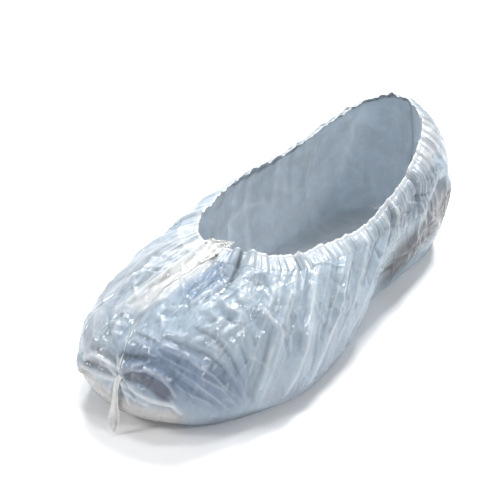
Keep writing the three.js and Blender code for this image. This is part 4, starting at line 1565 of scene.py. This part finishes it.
@dataclass
class ToeWeld(Weld):
    """The weld over the toe: its tab at the mouth, its fin and its hanging end."""

    height: float = 0.4
    thick: float = 0.34
    knot_share: float = 0.765
    fin_share: float = 0.8
    fin_edge: tuple[Wave, ...] = ((0.2, 31, 0), (0.2, 57, 1))
    fin_lean: tuple[Wave, ...] = ((0.45, 17, 0), (0.3, 43, 2))
    fin_flares: tuple[Wave, ...] = ((1.3, 0, 0.12), (0.8, 1, 0.06))
    tab_sway: tuple[Wave, ...] = ((0.35, 47, 0), (0.25, 83, 1))
    tab_jags: tuple[Wave, ...] = ((0.1, 61, 2), (0.08, 97, 0))
    end_sway: tuple[Wave, ...] = ((0.5, 24, 0), (0.35, 41, 1))
    tab_rows: int = 30
    tab_spans: int = 13
    end_rows: int = 44
    end_spans: int = 9

    def knot_row(self) -> int:
        """Row of the grid at the knot, where the fin ends and the loose end starts."""
        return int(np.argmin(np.abs(self.halves[0].share[:, 0] - self.knot_share)))

    def fin_sections(self) -> Array:
        """Sections of the fin from the hem's edge to the knot.

        Returns:
            Rows by 4 corners by 3.
        """
        points, normals = self.column(0, -1, self.knot_row())
        s = np.linspace(0, 1, len(points))
        tall = self.height * (self.fin_share + waves(s, self.fin_edge))
        flares = [rise * np.exp(-(((s - at) / reach) ** 2)) for rise, at, reach in self.fin_flares]
        tall *= 1 + sum(flares)
        return self.fin(points, normals, tall, waves(s, self.fin_lean))

    def tab_sections(self) -> Array:
        """Sections of the tab: the jagged end of the weld that stands up over the hem.

        Returns:
            Rows by points round the strip by 3.
        """
        near = self.halves[0]
        top, below = near.points[0, 0], near.points[near.hem_rows, 0]
        out = near.normals[0, 0]
        up = unit(top - below)
        across = unit(np.cross(up, out))
        marks = np.linspace(0, 1, self.tab_rows)
        rise, away, aside, wide, thick = read_between(TAB_ROWS, marks).T[..., None]
        aside = aside + waves(marks, self.tab_sway)[:, None]
        wide = wide * (1 + waves(marks, self.tab_jags)[:, None])
        centre = top + rise * up + away * out + aside * across
        half = wide / 2 * unit(0.8 * across - 0.5 * out)
        spans = np.linspace(-1, 1, self.tab_spans)
        ruffle = 0.55 * zigzag(9 * spans + 3 * marks[:, None])
        ruffle = ruffle + 0.45 * zigzag(23 * marks[:, None] + 2.5 * spans)
        ruffle = ruffle * np.minimum(1, wide / 8)
        return strip(centre, half, unit(0.5 * across + 0.8 * out), spans, ruffle, thick[:, 0])

    def end_sections(self) -> Array:
        """Sections of the loose end, a folded strip that hangs down from the knot.

        Returns:
            Rows by points round the strip by 3.
        """
        knot = self.halves[0].points[self.knot_row(), 0]
        marks = np.linspace(0, 1, self.end_rows)
        held = read_between(TAIL_ROWS, marks)
        smoothed = held.copy()
        smoothed[1:-1] = 0.25 * held[:-2] + 0.5 * held[1:-1] + 0.25 * held[2:]
        wide, thick, angle = smoothed[:, 3], smoothed[:, 4], np.radians(smoothed[:, 5])
        level = 0 * angle
        half = 0.5 * wide[:, None] * np.stack([np.sin(angle), -np.cos(angle), level], axis=-1)
        thin = np.stack([np.cos(angle), np.sin(angle), level], axis=-1)
        spans = np.linspace(-1, 1, self.end_spans)
        fold = 2.2 * (1 - np.abs(spans - 0.15)) - 0.4 * np.cos(7 * spans)
        wave = waves(marks, self.end_sway)
        off = fold * np.minimum(1, wide / 5)[:, None] + wave[:, None] * (0.3 + 0.4 * spans**2)
        return strip(knot + smoothed[:, :3], half, thin[:, None], spans, off, thick)

    def build(self, finish: bpy.types.Material) -> None:
        """Makes the tab, the fin and the loose end, which stand for the CAD toe seam.

        Args:
            finish: The weld's material.
        """
        self.make("toe_weld_fin", "toe_seam", self.fin_sections(), finish)
        self.make("toe_weld_tab", "toe_seam", self.tab_sections(), finish)
        self.make("toe_weld_end", "toe_seam", self.end_sections(), finish)


@dataclass
class HeelWeld(Weld):
    """The plain weld up the back of the heel."""

    height: float = 1.6
    thick: float = 0.4
    last_share: float = 0.95
    fin_share: float = 0.9
    fin_edge: tuple[Wave, ...] = ((0.1, 40, 0),)
    fin_lean: tuple[Wave, ...] = ((0.3, 33, 0),)

    def build(self, finish: bpy.types.Material) -> None:
        """Makes the fin from the hem's edge to just above the foot line.

        Args:
            finish: The weld's material.
        """
        share = self.halves[0].share[:, 0]
        last = int(np.argmin(np.abs(share - self.last_share)))
        points, normals = self.column(-1, 0, last)
        s = np.linspace(0, 1, len(points))
        tall = self.height * (self.fin_share + waves(s, self.fin_edge))
        sections = self.fin(points, normals, tall, waves(s, self.fin_lean))
        self.make("heel_weld", "heel_seam", sections, finish)


class Effect(Enum):
    """Shared effects of the finishes, each a node group."""

    CRINKLE = "film crinkle"
    CLOUD = "film cloud"


@dataclass(frozen=True)
class Look:
    """What sets one finish apart from the others."""

    name: str
    colour: Triple
    roughness: tuple[float, float]
    coat: float
    bump: float
    through: float
    reads_tint: bool = False


# Cells to a metre, slope of a cell's tilt and height of its border in metres
FACETS = ((75, 0.22, 0.0001), (170, 0.32, 0.00007), (380, 0.22, 0.00003))

LOOKS = {
    "film": Look("creased film", FILM_BLUE, (0.09, 0.2), 0.5, 1.0, 0.4, reads_tint=True),
    "hem": Look("folded film of the hem", (0.86, 0.89, 0.91), (0.2, 0.4), 0.2, 0.6, 0.3, reads_tint=True),
    "seam": Look("welded film", (0.95, 0.95, 0.945), (0.14, 0.28), 0.4, 0.9, 0.3),
    "elastic": Look("elastic", (0.94, 0.93, 0.89), (0.7, 0.85), 0.0, 0.3, 0.0),
}


@dataclass
class Nodes:
    """Adds nodes to one tree, with their settings and what feeds them."""

    tree: bpy.types.NodeTree

    def add(
        self, kind: str, feeds: dict[str | int, Feed], **settings: str | bool
    ) -> bpy.types.Node:
        """Adds a node.

        Args:
            kind: The kind of node.
            feeds: A value or another node's output for each input, by its name or number.
            settings: The node's own settings, which choose its inputs.

        Returns:
            The new node.
        """
        node = self.tree.nodes.new("ShaderNode" + kind)
        for name, value in settings.items():
            setattr(node, name, value)
        return self.fed(node, feeds)

    def fed(self, node: bpy.types.Node, feeds: dict[str | int, Feed]) -> bpy.types.Node:
        """A node with what feeds it: a link from another node's output, or a value of its own.

        Args:
            node: The node.
            feeds: What feeds each input, by its name or number.

        Returns:
            The same node.
        """
        for key, value in feeds.items():
            if isinstance(value, Socket):
                self.tree.links.new(value, node.inputs[key])
            else:
                node.inputs[key].default_value = value
        return node

    def ranged(self, value: Socket, start: Place, end: Sequence[Socket | float]) -> Socket:
        """A value moved in proportion from one range to another, and held inside it.

        Args:
            value: The value to move.
            start: Lower and upper end that it comes from.
            end: Lower and upper end that it goes to.

        Returns:
            The moved value.
        """
        feeds = {"Value": value, "From Min": start[0], "From Max": start[1]}
        feeds |= {"To Min": end[0], "To Max": end[1]}
        return self.add("MapRange", feeds).outputs["Result"]

    def times(self, value: Socket, factor: Socket | float, clamp: bool = False) -> Socket:
        """The product of a value and a factor, held from 0 to 1 if asked.

        Args:
            value: The value.
            factor: A number or another value.
            clamp: Whether the product is held from 0 to 1.

        Returns:
            The product.
        """
        return self.add("Math", {0: value, 1: factor}, operation="MULTIPLY", use_clamp=clamp).outputs[0]

    def plus(self, value: Socket, factor: float, onto: Socket | float) -> Socket:
        """A value times a factor, added onto another value.

        Args:
            value: The value.
            factor: What it is multiplied by.
            onto: What the product is added to.

        Returns:
            The sum.
        """
        return self.add("Math", {0: value, 1: factor, 2: onto}, operation="MULTIPLY_ADD").outputs[0]

    def group(self, shared: bpy.types.NodeTree, feeds: dict[str, Feed]) -> bpy.types.Node:
        """A shared effect, placed in this tree.

        Args:
            shared: The effect's node group.
            feeds: What feeds each of its inputs, by name.

        Returns:
            The node that gives its outputs.
        """
        node = self.tree.nodes.new("ShaderNodeGroup")
        node.node_tree = shared
        return self.fed(node, feeds)


@dataclass
class Finishes:
    """The materials, with the effects that they share."""

    groups: dict[Effect, bpy.types.NodeTree] = field(default_factory=dict)
    coat_roughness: float = 0.04
    facet_draw: Triple = (1.45, 0.45, 0.42)
    warp_scale: float = 45
    warp_reach: Triple = (0.002, 0.002, 0.003)
    gate_scale: float = 95
    # Where the painted highlights along the facets' borders show, in patches
    painted_glint_gate: Place = (0.52, 0.62)
    calm_gate: Place = (0.45, 0.6)
    calm_range: Place = (0.2, 1.1)
    calmed_from: float = 100
    border_reach: float = 0.09
    # How wide and how strong the painted highlights along the facets' borders are
    painted_glint_reach: float = 0.05
    painted_glint_share: float = 35
    grain_scale: float = 900
    grain_height: float = 0.00006
    cloud_range: Place = (0.32, 0.68)
    cloud_shade: Place = (0.88, 1.05)

    def effect(
        self, effect: Effect, inputs: Sequence[str], outputs: Sequence[str]
    ) -> tuple[Nodes, dict[str, Socket], bpy.types.Node]:
        """An empty node group with its named inputs and outputs.

        Args:
            effect: The effect that it is for.
            inputs: Names of the values that it takes, each 1 if not given.
            outputs: Names of the values that it gives out.

        Returns:
            The group's nodes, its inputs by name, and its output node.
        """
        tree = bpy.data.node_groups.new(effect.value, "ShaderNodeTree")
        for name in inputs:
            socket = tree.interface.new_socket(name, in_out="INPUT", socket_type="NodeSocketFloat")
            socket.default_value = 1.0
        for name in outputs:
            tree.interface.new_socket(name, in_out="OUTPUT", socket_type="NodeSocketFloat")
        given = tree.nodes.new("NodeGroupInput").outputs
        return Nodes(tree), {name: given[name] for name in inputs}, tree.nodes.new("NodeGroupOutput")

    def crinkle(self) -> bpy.types.NodeTree:
        """Fine flat facets with sharp borders, as a height in metres.

        Every cell tilts a chance way: its height is the chance slope of the cell times the
        distance from the cell's middle. Thin lines stand up along the borders, and in patches
        along them lies a mask of painted highlights.

        Returns:
            The node group, which takes how lively the film is, and gives out both: height and painted
            highlights.
        """
        nodes, given, out = self.effect(Effect.CRINKLE, ("Lively",), ("Height", "Painted Glint"))
        place = nodes.add("TexCoord", {}).outputs["Object"]
        waved = {"Scale": self.warp_scale, "Detail": 1, "Vector": place}
        gated = {"Scale": self.gate_scale, "Detail": 1, "Vector": place}
        fine = {"Scale": self.grain_scale, "Detail": 3, "Vector": place}
        warp = nodes.add("TexNoise", waved).outputs["Color"]
        bend = {0: warp, 1: self.warp_reach, 2: place}
        bent = nodes.add("VectorMath", bend, operation="MULTIPLY_ADD").outputs[0]
        drawn = nodes.add("VectorMath", {0: bent, 1: self.facet_draw}, operation="MULTIPLY").outputs[0]
        gate = nodes.add("TexNoise", gated).outputs["Fac"]
        opened = nodes.ranged(gate, self.painted_glint_gate, (0, 1))
        calm = nodes.ranged(gate, self.calm_gate, self.calm_range)
        total = painted_glint = 0.0
        for scale, slope, line in FACETS:
            where = {"Scale": scale, "Vector": drawn}
            cells = nodes.add("TexVoronoi", where)
            off = {0: drawn, 1: cells.outputs["Position"]}
            away = nodes.add("VectorMath", off, operation="SUBTRACT").outputs[0]
            chance = {0: cells.outputs["Color"], 1: (0.5, 0.5, 0.5)}
            tilt = nodes.add("VectorMath", chance, operation="SUBTRACT").outputs[0]
            tilted = nodes.add("VectorMath", {0: tilt, 1: away}, operation="DOT_PRODUCT").outputs["Value"]
            if scale > self.calmed_from:
                tilted = nodes.times(tilted, calm)
            border = nodes.add("TexVoronoi", where, feature="DISTANCE_TO_EDGE").outputs["Distance"]
            sloped = nodes.plus(tilted, slope, total)
            edge = nodes.ranged(border, (0, self.border_reach), (1, 0))
            total = nodes.plus(edge, line, sloped)
            # Painted highlight along the cell's border
            painted_shine = nodes.ranged(border, (0, self.painted_glint_reach), (1, 0))
            painted_glint = nodes.plus(painted_shine, self.painted_glint_share / scale, painted_glint)
        grain = nodes.add("TexNoise", fine).outputs["Fac"]
        height = nodes.plus(grain, self.grain_height, total)
        painted_glint = nodes.times(painted_glint, opened, clamp=True)
        nodes.tree.links.new(nodes.times(height, given["Lively"]), out.inputs["Height"])
        nodes.tree.links.new(nodes.times(painted_glint, given["Lively"]), out.inputs["Painted Glint"])
        return nodes.tree

    def cloud(self) -> bpy.types.NodeTree:
        """Soft unevenness of the film's thickness, between a least and a most value.

        Returns:
            The node group, which takes both values and gives out the amount.
        """
        nodes, given, out = self.effect(Effect.CLOUD, ("Least", "Most"), ("Amount",))
        place = nodes.add("TexCoord", {}).outputs["Object"]
        cloudy = {"Scale": 75, "Detail": 6, "Roughness": 0.62, "Distortion": 0.8, "Vector": place}
        noise = nodes.add("TexNoise", cloudy).outputs["Fac"]
        ends = (given["Least"], given["Most"])
        nodes.tree.links.new(nodes.ranged(noise, self.cloud_range, ends), out.inputs["Amount"])
        return nodes.tree

    def group(self, effect: Effect) -> bpy.types.NodeTree:
        """The node group of an effect, made when first asked for.

        Args:
            effect: Which effect.

        Returns:
            Its node group.
        """
        if effect not in self.groups:
            makers = {Effect.CRINKLE: self.crinkle, Effect.CLOUD: self.cloud}
            self.groups[effect] = makers[effect]()
        return self.groups[effect]

    def material(self, look: Look) -> bpy.types.Material:
        """The material of one look.

        Args:
            look: Its colour, gloss and creases.

        Returns:
            A node material on Object coordinates and the film's tint, with its painted shade and
            highlights.
        """
        material = bpy.data.materials.new(look.name)
        material.use_nodes = True
        nodes = Nodes(material.node_tree)
        shader = nodes.tree.nodes["Principled BSDF"]
        shader.inputs["Coat Weight"].default_value = look.coat
        shader.inputs["Coat Roughness"].default_value = self.coat_roughness
        colour, lively = srgb(look.colour), 1.0
        if look.reads_tint:
            colour = nodes.add("Attribute", {}, attribute_name="tint").outputs["Color"]
            lively = nodes.add("Attribute", {}, attribute_name="lively").outputs["Fac"]
        crinkle = nodes.group(self.group(Effect.CRINKLE), {"Lively": lively}).outputs
        height, painted_glint = crinkle["Height"], crinkle["Painted Glint"]
        thickness, gloss = (
            nodes.group(self.group(Effect.CLOUD), {"Least": least, "Most": most}).outputs["Amount"]
            for least, most in (self.cloud_shade, look.roughness)
        )
        clouded = {"Factor": 1.0, "A": colour, "B": thickness}
        shade = nodes.add("Mix", clouded, data_type="RGBA", blend_type="MULTIPLY").outputs["Result"]
        # Painted highlights: the colour goes towards white along the facets' borders, in patches
        painting_glints = {"Factor": painted_glint, "A": shade, "B": srgb(PAINTED_GLINT_WHITE)}
        pale = nodes.add("Mix", painting_glints, data_type="RGBA").outputs["Result"]
        raised = {"Strength": look.bump, "Distance": 1.0, "Height": height}
        join = nodes.tree.links.new
        join(pale, shader.inputs["Base Color"])
        join(gloss, shader.inputs["Roughness"])
        join(nodes.add("Bump", raised).outputs["Normal"], shader.inputs["Normal"])
        if look.through:
            self.let_light_through(nodes, shader, pale, look.through)
        return material

    def let_light_through(
        self, nodes: Nodes, shader: bpy.types.Node, colour: Socket, amount: float
    ) -> None:
        """Mixes light from the film's other side into its own shading.

        Args:
            nodes: The material's nodes.
            shader: The material's own shader.
            colour: Colour of the light that comes through.
            amount: Share of it, from 0 to 1.
        """
        through = nodes.add("BsdfTranslucent", {"Color": colour}).outputs["BSDF"]
        both = {"Fac": amount, 1: shader.outputs["BSDF"], 2: through}
        mixed = nodes.add("MixShader", both).outputs["Shader"]
        nodes.tree.links.new(mixed, nodes.tree.nodes["Material Output"].inputs["Surface"])


@dataclass(frozen=True)
class Lamp:
    """A soft square light: its name, place and side in metres, and its power in watts."""

    name: str
    place: Triple
    size: float
    power: float


@dataclass
class Studio:
    """The pale floor, the soft light and the camera."""

    target: Triple = (-26.254, -7.527, 40.0)
    azimuth: float = 37.0
    elevation: float = 32.0
    distance: float = 800.0
    lens: float = 92.0
    aim: Triple = (0.0, 0.0, 0.04)
    floor_half: float = 6.0
    floor_roughness: float = 0.75
    sensor: float = 36.0
    sky: float = 0.43
    lamps: tuple[Lamp, ...] = (
        Lamp("key", (-0.1, 0.85, 1.35), 0.3, 26),
        Lamp("gloss", (-0.7, 0.5, 1.25), 0.25, 10.5),
        Lamp("high", (-0.05, 0.0, 1.6), 0.3, 6),
        Lamp("side", (1.2, -0.2, 1.0), 0.25, 5.5),
        Lamp("front", (-0.75, -1.05, 1.0), 0.3, 8),
    )

    def floor(self) -> bpy.types.Object:
        """A wide pale floor under the cover.

        Returns:
            The floor, left out of the exported part.
        """
        mesh = bpy.data.meshes.new("floor")
        half = self.floor_half
        corners = [(-half, -half, 0), (half, -half, 0), (half, half, 0), (-half, half, 0)]
        mesh.from_pydata(corners, [], [(0, 1, 2, 3)])
        material = bpy.data.materials.new("pale floor")
        material.use_nodes = True
        shader = material.node_tree.nodes["Principled BSDF"]
        shader.inputs["Base Color"].default_value = srgb(FLOOR_WHITE)
        shader.inputs["Roughness"].default_value = self.floor_roughness
        mesh.materials.append(material)
        floor = bpy.data.objects.new("floor", mesh)
        bpy.context.collection.objects.link(floor)
        return floor

    def light(self, lamp: Lamp) -> None:
        """Sets up one light, turned to face the cover.

        Args:
            lamp: Its place, size and power.
        """
        data = bpy.data.lights.new(lamp.name, "AREA")
        data.shape = "SQUARE"
        data.size = lamp.size
        data.energy = lamp.power
        piece = bpy.data.objects.new(lamp.name, data)
        piece.location = lamp.place
        towards = Vector(self.aim) - Vector(lamp.place)
        piece.rotation_euler = towards.to_track_quat("-Z", "Y").to_euler()
        bpy.context.collection.objects.link(piece)

    def camera(self) -> None:
        """The camera of the studio view."""
        a, e = math.radians(self.azimuth), math.radians(self.elevation)
        back = Vector((math.sin(a) * math.cos(e), -math.cos(a) * math.cos(e), math.sin(e)))
        data = bpy.data.cameras.new("camera")
        data.lens = self.lens
        data.sensor_width = self.sensor
        camera = bpy.data.objects.new("camera", data)
        target = Vector(self.target) * MM
        camera.location = target + back * self.distance * MM
        camera.rotation_euler = (-back).to_track_quat("-Z", "Y").to_euler()
        bpy.context.collection.objects.link(camera)
        bpy.context.scene.camera = camera

    def build(self) -> None:
        """Sets the floor, the lights, the pale surroundings and the camera."""
        self.floor()
        for lamp in self.lamps:
            self.light(lamp)
        world = bpy.data.worlds.new("studio")
        world.use_nodes = True
        shade = world.node_tree.nodes["Background"]
        shade.inputs["Color"].default_value = srgb(SKY_WHITE)
        shade.inputs["Strength"].default_value = self.sky
        bpy.context.scene.world = world
        bpy.context.scene.view_settings.view_transform = "Standard"
        self.camera()


@dataclass
class ShoeCover:
    """The whole cover: film, hem with its elastic, and the welds of toe and heel."""

    flat: tuple[float, float] = (0.15, 0.41)

    def build(self) -> None:
        """Makes every piece and gives it its finish."""
        form, relief = Form(), Relief()
        near = FilmHalf(form, relief, "film_near_side", 0.0, columns=480, toe_crowding=1.2)
        far = FilmHalf(form, relief, "film_far_side", 0.5, columns=360, toe_crowding=2.2)
        finishes = Finishes()
        materials = {key: finishes.material(look) for key, look in LOOKS.items()}
        for half in (near, far):
            half.build(materials["film"], self.flat)
        hem = Hem((near, far))
        hem.build(materials["hem"])
        hem.build_elastic(materials["elastic"])
        ToeWeld((near, far)).build(materials["seam"])
        HeelWeld((near, far)).build(materials["seam"])


def main() -> None:
    """Builds the cover and its studio."""
    logging.basicConfig(level=logging.INFO, format="%(name)s %(message)s")
    ShoeCover().build()
    Studio().build()


if __name__ == "__main__":
    main()
